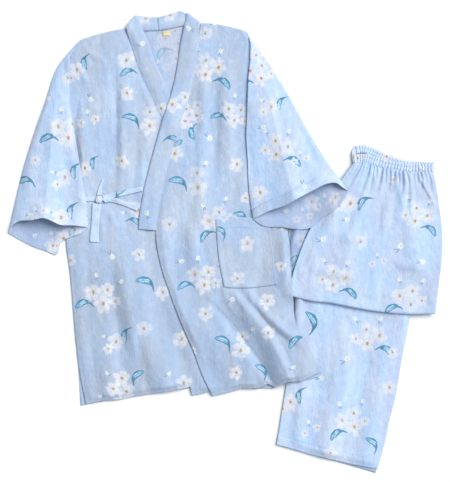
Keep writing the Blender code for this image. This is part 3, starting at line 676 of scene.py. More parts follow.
def drawBlossom(tree, attribute):
    # five round petals about a heart: gives the colour, and how much of the cloth it covers
    ink = printColours
    vector, x, y, seed = motifAttribute(tree, attribute)
    wobble = noiseAt(vector, 1.7, 1.0)
    cloud = noiseAt(stretched(vector, 1.0, 1.0, 7.0), 3.6)
    long = times(y, fade(y, -0.2, 0.2, 0.88, 1.06))
    far = calc("SQRT", plus(times(x, x), times(long, long)))
    far = times(far, fade(wobble, 0.3, 0.7, 0.86, 1.16))
    fifth = 2 * math.pi / 5
    angle = plus(calc("ARCTAN2", long, x), times(seed, 6.2832))
    aside = minus(calc("FLOORED_MODULO", angle, fifth), fifth / 2)
    petal = ringDistance(times(far, calc("COSINE", aside)), times(far, calc("SINE", aside)), 0.43, 0.40, 0.54)
    cover = calc("MAXIMUM", fade(petal, 1.24, 0.50), fade(far, 0.56, 0.26))
    cover = times(cover, fade(cloud, 0.34, 0.62, 0.44, 0.90))
    blush = fade(noiseAt(vector, 1.2, 1.0), 0.44, 0.70, 0.0, 0.75)
    colour = blendColour(blush, ink["petal"], ink["petalPink"])
    gap = times(fade(petal, 0.75, 1.0), fade(far, 0.8, 0.45))
    colour = blendColour(times(gap, 0.5), colour, ink["petalShade"])
    glow = fade(ringDistance(x, y, 0.36, 0.42, 0.0, 0.08), 1.0, 0.3, 0.0, 0.85)
    colour = blendColour(glow, colour, ink["glow"])
    heart = fade(ringDistance(x, y, 0.17, 0.24, 0.02, -0.06), 1.25, 0.45)
    heart = times(heart, fade(cloud, 0.32, 0.52, 0.7, 1.0))
    colour = blendColour(heart, colour, ink["heart"])
    faint = fade(seed, 0.3, 1.0, 1.0, 0.62)
    return colour, calc("MAXIMUM", times(cover, faint), times(heart, 0.9))


def drawLeaf(tree, attribute):
    # an arched leaf that runs out into a hooked tip: dark along its edges, with light strokes inside
    ink = printColours
    vector, u, v, _ = motifAttribute(tree, attribute)
    grainy = noiseAt(vector, 2.2, 1.0)
    past = calc("MAXIMUM", minus(u, 0.30), 0.0)
    tail = times(times(past, past), 0.95)
    arch = minus(minus(0.24, times(times(u, u), 0.34)), tail)
    across = plus(minus(v, arch), fade(grainy, 0.3, 0.7, -0.035, 0.035))
    share = calc("MINIMUM", calc("MAXIMUM", times(plus(u, 1.0), 0.5), 0.0), 1.0)
    swell = calc("SINE", times(calc("POWER", share, 0.72), math.pi))
    swell = calc("POWER", calc("MAXIMUM", swell, 0.0001), 1.15)
    side = calc("DIVIDE", across, plus(times(swell, 0.28), 0.06))
    away = calc("ABSOLUTE", side)
    cover = times(fade(away, 1.12, 0.88), fade(calc("ABSOLUTE", u), 1.02, 0.96))
    colour = blendColour(fade(side, 0.7, -0.7), ink["leafBlue"], ink["leafLight"])
    sway = times(calc("SINE", times(u, 3.4)), 0.3)
    beside = minus(calc("ABSOLUTE", minus(side, sway)), 0.30)
    stroke = fade(calc("ABSOLUTE", beside), 0.24, 0.08)
    stroke = times(stroke, times(fade(u, 0.45, 0.1), fade(u, -0.85, -0.5)))
    broken = fade(noiseAt(vector, 4.5, 1.0), 0.36, 0.52, 0.15, 0.82)
    colour = blendColour(times(stroke, broken), colour, ink["leafShine"])
    edge = calc("MAXIMUM", fade(away, 0.52, 0.80), fade(u, 0.10, 0.45))
    colour = blendColour(times(edge, 0.88), colour, ink["leafDark"])
    return colour, times(cover, fade(grainy, 0.3, 0.5, 0.82, 0.98))


def drawBud(tree, attribute):
    # a round bud on a thin forked stem
    ink = printColours
    vector, u, v, _ = motifAttribute(tree, attribute)
    curve = times(calc("SINE", times(u, 2.2)), 0.20)
    across = calc("ABSOLUTE", minus(v, curve))
    run = times(fade(u, -1.1, -0.9), fade(u, 0.2, 0.0))
    stem = times(fade(across, 0.16, 0.06), run)
    fork = calc("ABSOLUTE", minus(v, times(plus(u, 0.35), -0.9)))
    forked = times(fade(fork, 0.17, 0.06), times(fade(u, -0.95, -0.85), fade(u, -0.3, -0.4)))
    stem = calc("MAXIMUM", stem, forked)
    wobble = fade(noiseAt(vector, 2.0), 0.3, 0.7, 0.85, 1.2)
    head = times(ringDistance(u, v, 0.62, 0.56, 0.36, 0.10), wobble)
    cover = times(fade(head, 1.10, 0.55), 0.86)
    green = fade(ringDistance(u, v, 0.4, 0.35, 0.45, 0.02), 1.1, 0.3, 0.0, 0.7)
    colour = blendColour(green, ink["bud"], ink["budGreen"])
    drawn = times(stem, fade(head, 0.6, 0.95))
    colour = blendColour(drawn, colour, ink["stem"])
    return colour, calc("MAXIMUM", cover, times(drawn, 0.85))


gauze = {
    # the ground, the clouds in it and the washed-out streaks
    "body": ((0.42, 0.54, 0.735), (0.46, 0.525, 0.63), (0.63, 0.74, 0.88)),
    "light": ((0.465, 0.615, 0.84), (0.52, 0.60, 0.77), (0.70, 0.82, 0.95)),
    "pale": ((0.56, 0.69, 0.87), (0.60, 0.68, 0.82), (0.78, 0.86, 0.95)),
    "reverse": ((0.43, 0.53, 0.71), (0.49, 0.54, 0.66), (0.55, 0.64, 0.78)),
    "inside": ((0.38, 0.49, 0.69), (0.43, 0.50, 0.64), (0.52, 0.61, 0.79)),
    # painted shade: the darker, greyer tone blended into the jacket's cloth below the waist
    "paintedShade": (0.30, 0.37, 0.48),
    "roughness": 0.88,
    "sheen": 0.25,
    "threadSpacing": 0.0008,
    "threadShade": (0.30, 0.36, 0.50),
    "bumpStrength": 0.8,
    "bumpDistance": 0.0015,
}
# the order they are printed in, each one over those before it
printOrder = ((drawBud, "budNear"), (drawLeaf, "leafNear"), (drawBlossom, "blossomNext"),
              (drawBlossom, "blossomNear"))


def makeGauze(name, tones, printed, skirtShade=0.0):
    # crinkled double gauze: `printed` is how strongly the print shows, and the last argument how strongly
    # painted shade darkens and greys it below the waist
    material = bpy.data.materials.new(name)
    material.use_nodes = True
    tree = material.node_tree
    shader = tree.nodes["Principled BSDF"]
    grain, across, along, _ = motifAttribute(tree, "grain")

    cloudy = noiseAt(stretched(grain, 1.0, 0.5), 16.0, 3.0)
    streaks = noiseAt(stretched(grain, 22.0, 6.0), 1.0, 3.0)
    mottled = noiseAt(stretched(grain, 1.0, 0.7), 95.0, 3.0)
    colour, clouds, washed = tones
    shaded = tuple(0.80 * value for value in colour)
    # each tone comes in from one value of its noise to another, up to its strength
    for noise, low, high, strength, tone in ((cloudy, 0.40, 0.62, 1.0, clouds),
                                             (streaks, 0.40, 0.72, 0.46, washed),
                                             (mottled, 0.45, 0.66, 0.20, shaded),
                                             (mottled, 0.46, 0.32, 0.24, washed)):
        colour = blendColour(fade(noise, low, high, 0.0, strength), colour, tone)
    # painted shade: the cloth turns darker and greyer below the waist
    if skirtShade > 0:
        colour = blendColour(fade(along, 0.08, -0.14, 0.0, skirtShade), colour, gauze["paintedShade"])
    for draw, attribute in printOrder:
        ink, cover = draw(tree, attribute)
        colour = blendColour(times(cover, printed), colour, ink)
    slub = noiseAt(stretched(grain, 900.0, 60.0), 1.0)
    weft = noiseAt(stretched(grain, 60.0, 900.0), 1.0)
    thread = plus(slub, weft)
    colour = blendColour(fade(thread, 0.75, 1.25, 0.10, 0.0), colour, gauze["threadShade"])
    tree.links.new(colour, shader.inputs["Base Color"])

    rough = fade(thread, 0.7, 1.3, gauze["roughness"] - 0.05, gauze["roughness"] + 0.06)
    tree.links.new(rough, shader.inputs["Roughness"])
    shader.inputs["Sheen Weight"].default_value = gauze["sheen"]
    shader.inputs["Sheen Roughness"].default_value = 0.45
    shader.inputs["Specular IOR Level"].default_value = 0.25

    turns = 2 * math.pi / gauze["threadSpacing"]
    weave = times(calc("SINE", times(across, turns)), calc("SINE", times(along, turns)))
    crinkle = noiseAt(stretched(grain, 240.0, 110.0), 1.0, 3.0)
    fine = noiseAt(stretched(grain, 620.0, 420.0), 1.0)
    relief = plus(plus(crinkle, times(fine, 0.35)), times(weave, 0.05))
    bump = tree.nodes.new("ShaderNodeBump")
    bump.inputs["Strength"].default_value = gauze["bumpStrength"]
    bump.inputs["Distance"].default_value = gauze["bumpDistance"]
    tree.links.new(relief, bump.inputs["Height"])
    tree.links.new(bump.outputs[0], shader.inputs["Normal"])
    return material


# the jacket's cloth takes 0.28 of painted shade below the waist
printedGauze = makeGauze("printedGauze", gauze["body"], 1.0, 0.28)
lightGauze = makeGauze("lightGauze", gauze["light"], 1.0)
reverseGauze = makeGauze("reverseGauze", gauze["reverse"], 0.42)
insideGauze = makeGauze("insideGauze", gauze["inside"], 0.6)
paleGauze = makeGauze("paleGauze", gauze["pale"], 1.0)
bodySides = [printedGauze, reverseGauze]
bothSides = [lightGauze, insideGauze]


# The folded trousers

hiddenLayers = {
    "upper": (((263, 152), (423, 129), 4.0), ((244, 117), (429, 107), 6.0), ((218, 61), (435, 59), 9.0),
              ((193, 12), (439, 16), 13.0), ((175, -33), (438, -33), 15.0), ((158, -78), (432, -86), 15.0),
              ((150, -92), (427, -121), 15.0)),
    "lower": (
        ((153, -97), (373, -125), 3.6), ((149, -162), (373, -170), 3.6), ((129, -293), (346, -318), 3.6),
        ((113, -394), (322, -420), 3.6), ((110, -409), (313, -460), 3.6), ((109, -415), (309, -473), 1.3),
    ),
    "layers": 4,
    "groove": 2.2,
    "pointsPerLayer": 6,
    "across": 44,
    "sprigs": (
        sprig("single", 330, -452, 0), sprig("leaf", 190, -440, 10), sprig("single", 240, -466, 40, 0.8),
    ),
}


def stackSection(left, right, height, along):
    # the stack cut through: its layers bulge at both edges, and its top and its underside are flat
    s = hiddenLayers
    left, right = np.array(left, float), np.array(right, float)
    way = (right - left) / np.linalg.norm(right - left)
    turns = np.linspace(0, 1, s["layers"] * s["pointsPerLayer"] + 1)
    bulge = np.abs(np.sin(turns * s["layers"] * math.pi)) ** 0.6
    layer = np.floor(turns * s["layers"] * 0.999)
    waver = np.sin(along * 0.021 + layer * 2.1) * 0.9 + np.sin(along * 0.057 + layer * 4.7) * 0.4
    inset = s["groove"] * (1 - bulge) + (waver + 1.3) * 0.8
    shares = np.linspace(0, 1, s["across"])[1:-1]
    ring = [(*(right - way * i), z * height) for i, z in zip(inset, turns)]
    ring += [(*(right + (left - right) * share), height) for share in shares]
    ring += [(*(left + way * i), z * height) for i, z in zip(inset[::-1], turns[::-1])]
    ring += [(*(left + (right - left) * share), 0.0) for share in shares]
    return ring


def makeHiddenLayers():
    rings = []
    along = 0.0
    for rows in (hiddenLayers["upper"], hiddenLayers["lower"]):
        table = np.array([[*left, *right, height] for left, right, height in rows], float)
        for row in smoothRows(table, rowSteps([t[:4].reshape(2, 2) for t in table], 6.0)):
            rings.append(stackSection(row[0:2], row[2:4], row[4], along))
            along += 6.0
    grid = np.array(rings)
    grid[..., 2] += cloth["underside"]
    piece = tubePiece("hiddenLayers", grid, [lightGauze], hiddenLayers["sprigs"])
    finishPiece(piece, "trousers_layers")
    addToPile(grid)


lowerLeg = {
    "sections": (((144, -98), (261, -113), (378, -125)), ((142, -162), (259, -180), (376, -170)),
                 ((135, -225), (251, -246), (363, -236)), ((126, -293), (236, -314), (349, -318)),
                 ((116, -355), (224, -375), (336, -369)), ((110, -394), (214, -418), (325, -420))),
    "hem": ((106, -414), (148, -426), (178, -435), (228, -447), (263, -455), (313, -464)),
    "creases": (
        crease((154, -60), (149, -130), (143, -200), 9, 16, 7),
        crease((256, -150), (240, -260), (212, -430), 44, 32, 6, hem=True),
        crease((334, -160), (320, -260), (292, -440), 36, 30, 5, hem=True),
        crease((178, -170), (168, -260), (148, -400), 18, 20, 2.6, hem=True),
        crease((222, -210), (214, -300), (196, -390), 12, 14, -1.0),
        crease((296, -200), (282, -300), (262, -410), 14, 12, -0.9),
        crease((352, -190), (344, -240), (334, -300), 10, 9, 0.8),
        crease((160, -150), (200, -165), (250, -158), 12, 16, 1.0),
        crease((262, -168), (310, -180), (356, -172), 10, 14, 0.8),
        crease((140, -330), (180, -342), (230, -336), 10, 12, 0.6),
    ),
    "sprigs": (
        sprig("leaf", 177, -164, -50, 1.15), sprig("trio", 300, -195, -15, -1),
        sprig("bud", 247, -242, 30, 1.2), sprig("single", 337, -297, 0, 0.95),
        sprig("trio", 255, -365, 20, 0.95), sprig("pairLeaf", 134, -326, 0), sprig("bud", 195, -279, 0),
        sprig("single", 216, -430, 0, 0.8), sprig("single", 343, -225, 30, 0.7),
        sprig("twig", 175, -385, 10, 0.9), sprig("leaf", 302, -414, -30, 0.9),
    ),
    "turned": {"bottom": 17.0},
    "passes": 60,
    "seed": 11,
}

riseStrip = {
    "sections": (((133, 33), (155, 33), (176, 33)), ((128, -12), (148, -12), (167, -12)),
                 ((131, -41), (146, -41), (160, -41)), ((136, -61), (143, -61), (150, -61))),
    "creases": (
        crease((182, 96), (151, 31), (127, -30), 11, 24, 9),
        crease((170, 40), (158, -4), (150, -55), 8, 9, 2.5),
    ),
    "sprigs": (sprig("single", 156, 4, 0, 0.95), sprig("leaf", 146, -38, 55, 0.95)),
    "turned": {"left": 4.0},
    "passes": 20,
    "seed": 17,
    "spacing": 2.4,
}

hip = {
    "waist": ((263, 179), (292, 180), (316, 172), (349, 165), (382, 160), (425, 161)),
    "bandWidth": 18.0,
    "underBand": 1.5,
    "sections": (((238, 125), (337, 111), (433, 107)), ((208, 76), (322, 61), (440, 59)),
                 ((173, 23), (310, 12), (444, 16)), ((150, -33), (298, -41), (443, -33)),
                 ((137, -78), (285, -94), (437, -86))),
    "fold": ((137, -112), (177, -121), (216, -125), (261, -134), (302, -141), (380, -148), (430, -147)),
    "spacing": 2.2,
    "foldRadius": 4.4,
    "lip": 12.0,
    "pleatRise": 1.5,
    "puff": 5.5,
    "puffLength": 14,      # how far below the band the puff is highest
    "tuckDepth": 1.1,      # as a share of the puff between tucks
    "tuckStart": 5,
    "loft": 1.2,
    "foldCalm": 26,        # how far up from the bottom fold its relief dies away
    "foldRelief": 0.35,    # to this share
    "foldWaver": 0.5,
    "passes": 160,
    "foldTop": 15.5,       # height that it settles to above the bottom fold
    "foldReach": 40,       # how far up the cloth it levels out towards the bottom fold
    "pleatRun": {"wave": 31, "phase": 40, "sway": 2.0, "spread": 1.6, "fall": 1.3},
    "tuckRun": {"wave": 23, "phase": 55, "sway": 1.6, "spread": 1, "fall": 1.1},
    # share across, length and half width of each tuck between the puffed gathers
    "tucks": ((0.07, 46, 3.4), (0.115, 62, 3.8), (0.16, 44, 3.2), (0.205, 70, 4.0), (0.25, 48, 3.2),
              (0.30, 60, 3.6), (0.335, 30, 2.8), (0.39, 38, 3.2), (0.44, 26, 2.6), (0.49, 48, 3.2),
              (0.54, 24, 2.4), (0.59, 34, 2.8), (0.64, 52, 3.2), (0.69, 26, 2.6), (0.745, 58, 3.6),
              (0.80, 36, 3.0), (0.85, 46, 3.2), (0.90, 30, 2.6), (0.945, 50, 3.2)),
    # share across, length, height and half width of each pleat below the waistband
    "pleats": ((0.025, 34, 2.2, 3.2), (0.06, 62, 3.0, 3.6), (0.095, 26, 2.2, 2.6), (0.13, 118, 4.6, 4.6),
               (0.165, 44, 2.8, 3.0), (0.20, 84, 3.8, 3.8), (0.235, 30, 2.4, 2.6), (0.27, 128, 4.6, 4.8),
               (0.31, 40, 2.8, 3.0), (0.345, 58, 3.0, 3.2), (0.385, 24, 2.2, 2.6), (0.42, 70, 3.4, 3.6),
               (0.46, 34, 2.6, 3.0), (0.50, 46, 2.8, 3.2), (0.535, 22, 2.2, 2.6), (0.575, 52, 3.0, 3.6),
               (0.615, 30, 2.4, 3.0), (0.66, 82, 3.8, 4.4), (0.70, 36, 2.6, 3.0), (0.74, 124, 4.8, 5.2),
               (0.785, 44, 2.8, 3.2), (0.825, 28, 2.4, 2.8), (0.865, 70, 3.4, 4.0), (0.905, 38, 2.6, 3.2),
               (0.95, 58, 2.8, 3.4)),
    "creases": (
        crease((290, 70), (262, -20), (236, -96), 50, 34, 6),
        crease((384, 90), (392, 0), (386, -100), 40, 30, 6),
        crease((300, 110), (280, 60), (246, 6), 16, 12, 4.0),
        crease((336, 120), (330, 60), (316, 0), 14, 16, 3.4),
        crease((352, 130), (366, 70), (372, 10), 10, 12, 1.5),
        crease((250, 104), (226, 60), (200, 6), 14, 12, 3.6),
        crease((410, 120), (424, 70), (436, 10), 12, 9, 1.5),
        crease((382, 150), (412, 108), (438, 54), 5, 7, 3.0),
        crease((205, 34), (260, 8), (318, 18), 16, 18, 3),
        crease((330, -20), (370, -48), (425, -40), 16, 18, 3),
        crease((165, -40), (210, -62), (262, -60), 16, 16, 3),
        crease((160, -92), (250, -112), (330, -122), 10, 12, -1.2),
        crease((300, -96), (360, -112), (432, -112), 12, 14, 1.4),
        crease((186, -8), (182, -50), (170, -95), 10, 12, 1.2),
    ),
    "sprigs": (
        sprig("pairLeaf", 257, 80, -30, 1.1), sprig("single", 277, 2, 0, 0.9),
        sprig("bud", 197, 4, 10, 1.1), sprig("trio", 230, -76, -20, -0.95), sprig("bud", 357, -12, 45, 1.2),
        sprig("trio", 398, 53, -25, -0.9), sprig("trio", 372, -113, 10, 0.95),
        sprig("bud", 247, 45, 0, 0.9), sprig("single", 345, 127, 0, 0.6), sprig("bud", 400, -41, 0),
        sprig("twig", 312, -41, 0, 0.8),
    ),
    "seed": 23,
}


def makeHip():
    # from the waistband down to the bottom fold, where the cloth turns back under itself
    s = hip
    widest = math.dist(s["sections"][3][0], s["sections"][3][2])
    shares = np.linspace(0, 1, int(widest / s["spacing"]) + 1)
    fold = alongLine(curveThrough(s["fold"]), shares)
    waist = alongLine(curveThrough(s["waist"]), shares)
    out = asideOf(fold)
    turnLine = fold - out * s["foldRadius"]
    rows = [waist + asideOf(waist) * (s["bandWidth"] - s["underBand"])]
    rows += [arcAcross(section, shares) for section in s["sections"]]
    rows.append(turnLine)
    xy = smoothRows(rows, rowSteps(rows, cloth["spacing"]))
    base = restOn(xy, s["passes"])
    down = runLength(xy)
    nearFold = step(s["foldReach"], 0, down[-1][None] - down)
    base = base * (1 - nearFold) + s["foldTop"] * nearFold

    width = np.linalg.norm(xy[:, -1] - xy[:, 0], axis=1)[:, None]
    across = shares[None] * width

    def gather(share, length, half, run):
        # a gather starts sharp at the band, wanders, and widens as it dies away
        gone = np.clip(down / length, 0, 1)
        wander = np.sin(down / run["wave"] + share * run["phase"]) * run["sway"]
        spread = half * (1 + run["spread"] * gone)
        beside = np.clip(np.abs(across - share * width - wander * gone) / spread, 0, 1)
        return (1 - beside ** 2) ** 2 * (1 - gone) ** run["fall"]

    pleats = np.zeros(xy.shape[:2])
    for share, length, height, half in s["pleats"]:
        pleats += s["pleatRise"] * height * gather(share, length, half, s["pleatRun"])
    pleats += s["puff"] * down / s["puffLength"] * np.exp(1 - down / s["puffLength"])
    sunk = s["puff"] * s["tuckDepth"]
    started = step(0, s["tuckStart"], down)
    for share, length, half in s["tucks"]:
        pleats -= sunk * gather(share, length, half, s["tuckRun"]) * started
    height, shift = creaseRelief(xy, s["creases"])
    calm = step(0, s["foldCalm"], down[-1][None] - down)
    crinkle = gauzeRelief(xy, s["seed"])
    height = (height + crinkle) * eased(s["foldRelief"], calm) + pleats + s["loft"]
    waver = softNoise(fold * np.array([1.0, 0.0]), 34, 5) * s["foldWaver"]
    top = np.dstack([xy + shift * calm[..., None], base + keptUp(height) + cloth["thickness"]])

    radius = s["foldRadius"]
    rolled = [top]
    flats = [xy]
    last = top[-1]
    for turn in np.radians(np.arange(15, 181, 15)):
        size = radius + waver * math.sin(turn)
        place = turnLine + out * (size * math.sin(turn))[:, None]
        z = last[:, 2] - size * (1 - math.cos(turn))
        rolled.append(np.dstack([place[None], z[None]]))
        flats.append((turnLine + out * (radius * turn))[None])
    for inward in np.linspace(0, s["lip"], 5)[1:]:
        z = last[:, 2] - 2 * radius
        rolled.append(np.dstack([(turnLine - out * inward)[None], z[None]]))
        flats.append((turnLine + out * (radius * math.pi + inward))[None])
    outer = np.concatenate(rolled)
    inner = outer - gridNormals(outer) * cloth["thickness"]
    piece = shell("hip", outer, inner, np.concatenate(flats), bothSides, s["sprigs"])
    finishPiece(piece, "trousers_hip")
    addToPile(outer)


waistband = {
    "front": hip["waist"],
    "rear": ((267, 197), (285, 199), (304, 193), (333, 180), (365, 168), (423, 164)),
    "width": 18.0,
    "gathers": 28,
    "stepsPerGather": 9,
    "depth": 1.9,
    "pointsAcross": 13,
    "stitchLines": ((0.5, 0.07, 1.0), (0.93, 0.05, 0.8)),  # share of its width, width and depth
    "thickness": 2.0,
    "hollow": 1.8,
    "sprigs": (
        sprig("single", 272, 172, 0, 0.85), sprig("single", 331, 176, 0, 0.6),
        sprig("bud", 402, 150, 20, 0.8),
    ),
}


def gathersAlong(shares, seed):
    # gathers of uneven width and depth
    rng = np.random.default_rng(seed)
    s = waistband
    edges = np.cumsum(rng.uniform(0.7, 1.3, s["gathers"] + 1))
    edges = (edges - edges[0]) / (edges[-1] - edges[0])
    phase = np.interp(shares, edges, np.arange(s["gathers"] + 1))
    depth = np.interp(shares, edges, rng.uniform(0.65, 1.25, s["gathers"] + 1))
    return np.abs(np.sin(phase * math.pi)) ** 0.8 * depth * s["depth"] * 1.9 - s["depth"]


def makeWaistband():
    # one flattened ring of gathered elastic; its rear row shows above its front row
    s = waistband
    count = s["gathers"] * s["stepsPerGather"]
    shares = np.linspace(0, 1, count + 1)
    front = alongLine(curveThrough(s["front"]), shares)
    rear = alongLine(curveThrough(s["rear"]), shares)
    v = np.linspace(0, 1, s["pointsAcross"])
    low = s["thickness"] / 2 + 0.4
    high = s["thickness"] * 1.5 + s["hollow"] + 2 * s["depth"]
    rounding = np.clip(1 - np.abs(2 * v - 1) ** 6, 0, 1) ** 0.5
    stitched = sum(depth * np.exp(-((v - at) / width) ** 2) for at, width, depth in s["stitchLines"])
    sections = []

    def section(top, below, wave, centre, up, outward=None):
        place = top + (below - top) * v[:, None]
        puff = (wave * (1 - 0.75 * stitched) - 0.25 * stitched) * rounding
        outer = s["thickness"] / 2 * rounding + puff
        inner = -s["thickness"] / 2 * rounding
        faces = []
        for face in (outer, inner):
            if outward is None:
                faces.append(np.column_stack([place, centre + up * face]))
            else:
                reach, turn = outward
                way = np.array([math.sin(turn), 0.0]) * up
                faces.append(np.column_stack([place + way * (reach + face)[:, None],
                                              centre + (reach + face) * math.cos(turn)]))
        return np.concatenate([faces[0], faces[1][::-1][1:-1]])

    frontWave, rearWave = gathersAlong(shares, 3), gathersAlong(shares, 8)
    frontLow = front + asideOf(front) * s["width"]
    rearLow = rear + asideOf(rear) * s["width"]
    half, centre = (high - low) / 2, (low + high) / 2
    turns = np.radians([30, 60, 90, 120, 150])

    def goRound(end, angles, up):
        # from one row to the other about an end of the ring
        for turn in angles:
            share = (1 - math.cos(turn)) / 2
            top = front[end] * (1 - share) + rear[end] * share
            below = frontLow[end] * (1 - share) + rearLow[end] * share
            sections.append(section(top, below, 0.0, centre, up, (half, turn)))

    for k in range(count + 1):
        sections.append(section(front[k], frontLow[k], frontWave[k], high, 1))
    goRound(-1, turns, 1)
    for k in range(count, -1, -1):
        # the rear row's outer face lies on the floor, and its inner face shows
        lift = np.clip(rearWave[k] + s["depth"], 0, 3)
        sections.append(section(rear[k], rearLow[k], 0.0, low, -1))
        ring = sections[-1]
        ring[len(v):, 2] += lift * 0.9 * (1 - 0.6 * stitched[::-1][1:-1]) * rounding[::-1][1:-1]
    goRound(0, turns[::-1], -1)
    grid = np.array(sections)
    rows, around = grid.shape[:2]
    loop = np.append(np.arange(rows), 0)
    columns = np.append(np.arange(around), 0)
    quads = quadsOf(rows + 1, columns, around)
    quads = np.where(quads >= rows * around, quads - rows * around, quads)
    flat = grid[loop][:, columns, :2]
    flatIndex = quadsOf(rows + 1, np.arange(around + 1), around + 1)
    corners = flat.reshape(-1, 2)[flatIndex]
    piece = makePiece("waistband", grid.reshape(-1, 3), quads, [paleGauze], None, corners, s["sprigs"])
    finishPiece(piece, "trousers_waistband")
    addToPile(grid[:count + 1, :len(v)])


# The jacket's body

back = {
    "sections": (((-291, 410), (-129, 445), (44, 426)), ((-321, 357), (-135, 361), (52, 361)),
                 ((-319, 295), (-135, 295), (49, 291)), ((-311, 230), (-133, 228), (46, 219)),
                 ((-299, 168), (-127, 168), (48, 168)), ((-309, 102), (-116, 102), (80, 102)),
                 ((-325, 12), (-102, 14), (124, 12)), ((-317, -59), (-92, -59), (130, -53)),
                 ((-309, -154), (-84, -146), (140, -156)), ((-303, -215), (-71, -207), (167, -211)),
                 ((-299, -266), (-59, -256), (185, -246))),
    "hem": ((-295, -335), (-235, -323), (-153, -310), (-71, -299), (-20, -305), (33, -298),
            (70, -300), (97, -301), (117, -291), (157, -284), (191, -276)),
    "creases": (
        crease((-150, 430), (-142, 380), (-130, 320), 14, 18, 1.2),
        crease((-110, 425), (-104, 380), (-112, 330), 12, 14, -0.8),
        crease((-200, -250), (-190, -290), (-196, -325), 14, 14, 1.0, hem=True),
        crease((150, -230), (160, -250), (166, -280), 12, 14, 1.2, hem=True),
    ),
    "sprigs": (
        sprig("trio", -108, 418, 30, 0.9), sprig("twig", -133, 353, 10, 0.9),
        sprig("single", -100, 377, 0, 0.8), sprig("single", -127, 308, 0, 0.8),
        sprig("single", -289, -283, 0, 0.9), sprig("single", 154, -283, 0),
    ),
    "turned": {"bottom": 17.0},
    "passes": 60,
    "crinkle": 0.35,
    "loft": 0.3,
    "seed": 31,
    "spacing": 3.6,
}

frontRight = {
    "sections": (((-295, 414), (-248, 428), (-203, 437)), ((-311, 396), (-252, 400), (-192, 405)),
                 ((-324, 357), (-250, 357), (-176, 357)), ((-322, 295), (-235, 295), (-148, 296)),
                 ((-314, 230), (-219, 230), (-118, 230)), ((-301, 168), (-198, 168), (-91, 168)),
                 ((-311, 102), (-190, 98), (-63, 102)), ((-325, 12), (-176, 8), (-26, 12)),
                 ((-317, -59), (-163, -61), (-18, -61)), ((-309, -154), (-155, -152), (-16, -152)),
                 ((-303, -219), (-155, -215), (-16, -215)), ((-295, -279), (-153, -264), (-18, -262))),
    "hem": ((-284, -332), (-245, -324), (-213, -322), (-176, -314), (-145, -310), (-114, -305),
            (-80, -299), (-71, -296), (-67, -314), (-51, -311), (-22, -303)),
    "creases": (
        crease((-204, 60), (-184, -130), (-114, -305), 46, 62, 12, hem=True),
        crease((-120, -70), (-84, -190), (-40, -300), 30, 20, 4, hem=True),
        crease((-212, 380), (-208, 230), (-214, 40), 16, 46, 8),
        crease((-298, 330), (-290, 200), (-300, 10), 18, 52, 5.5),
        crease((-250, 20), (-248, -120), (-232, -322), 34, 26, 5.5, hem=True),
        crease((-168, 300), (-166, 180), (-176, 20), 18, 24, 4),
        crease((-292, 120), (-296, -20), (-292, -200), 16, 18, 1.6),
        crease((-205, -20), (-200, -150), (-170, -310), 26, 18, 4, hem=True),
        crease((-300, -150), (-285, -240), (-270, -325), 14, 16, 1.8, hem=True),
        crease((-275, 80), (-240, 60), (-215, 20), 9, 12, 1.5),
        crease((-272, 98), (-235, 120), (-205, 150), 8, 10, 1.3),
        crease((-262, 70), (-252, 30), (-250, -30), 10, 9, 1.6),
        crease((-290, 400), (-268, 380), (-240, 372), 10, 12, 1.4),
        crease((-312, 372), (-290, 345), (-282, 300), 12, 10, 1.5),
        crease((-178, 330), (-160, 290), (-140, 262), 8, 8, 1.0),
    ),
    "sprigs": (
        sprig("pairLeaf", -303, 353, 10, 0.95), sprig("underLeaf", -202, 373, 0),
        sprig("single", -200, 305, 20, 0.95), sprig("bud", -276, 295, -70), sprig("leafTwo", -190, 250, -5),
        sprig("twig", -280, 248, 0), sprig("pairLeaf", -286, 152, 0, 0.85),
        sprig("single", -211, 166, 40, 0.9), sprig("underLeaf", -178, 64, -10, -0.9),
        sprig("single", -176, -25, 10, 0.85), sprig("bud", -233, -27, -60, 1.1),
        sprig("single", -317, -37, 50, 0.8), sprig("leaf", -161, -84, 0, 1.05),
        sprig("trio", -254, -109, 0), sprig("pairLeaf", -223, -203, 0), sprig("single", -166, -176, 30),
        sprig("trio", -211, -295, 60, -0.95), sprig("single", -84, -287, 0),
        sprig("bud", -116, -271, 20, 0.9), sprig("single", -127, -102, 10, 0.95),
        sprig("single", -88, -197, -20, 1.1),
    ),
    "turned": {"bottom": 17.0, "left": (10.0, -225.0)},
    "passes": 160,
    "seed": 41,
}

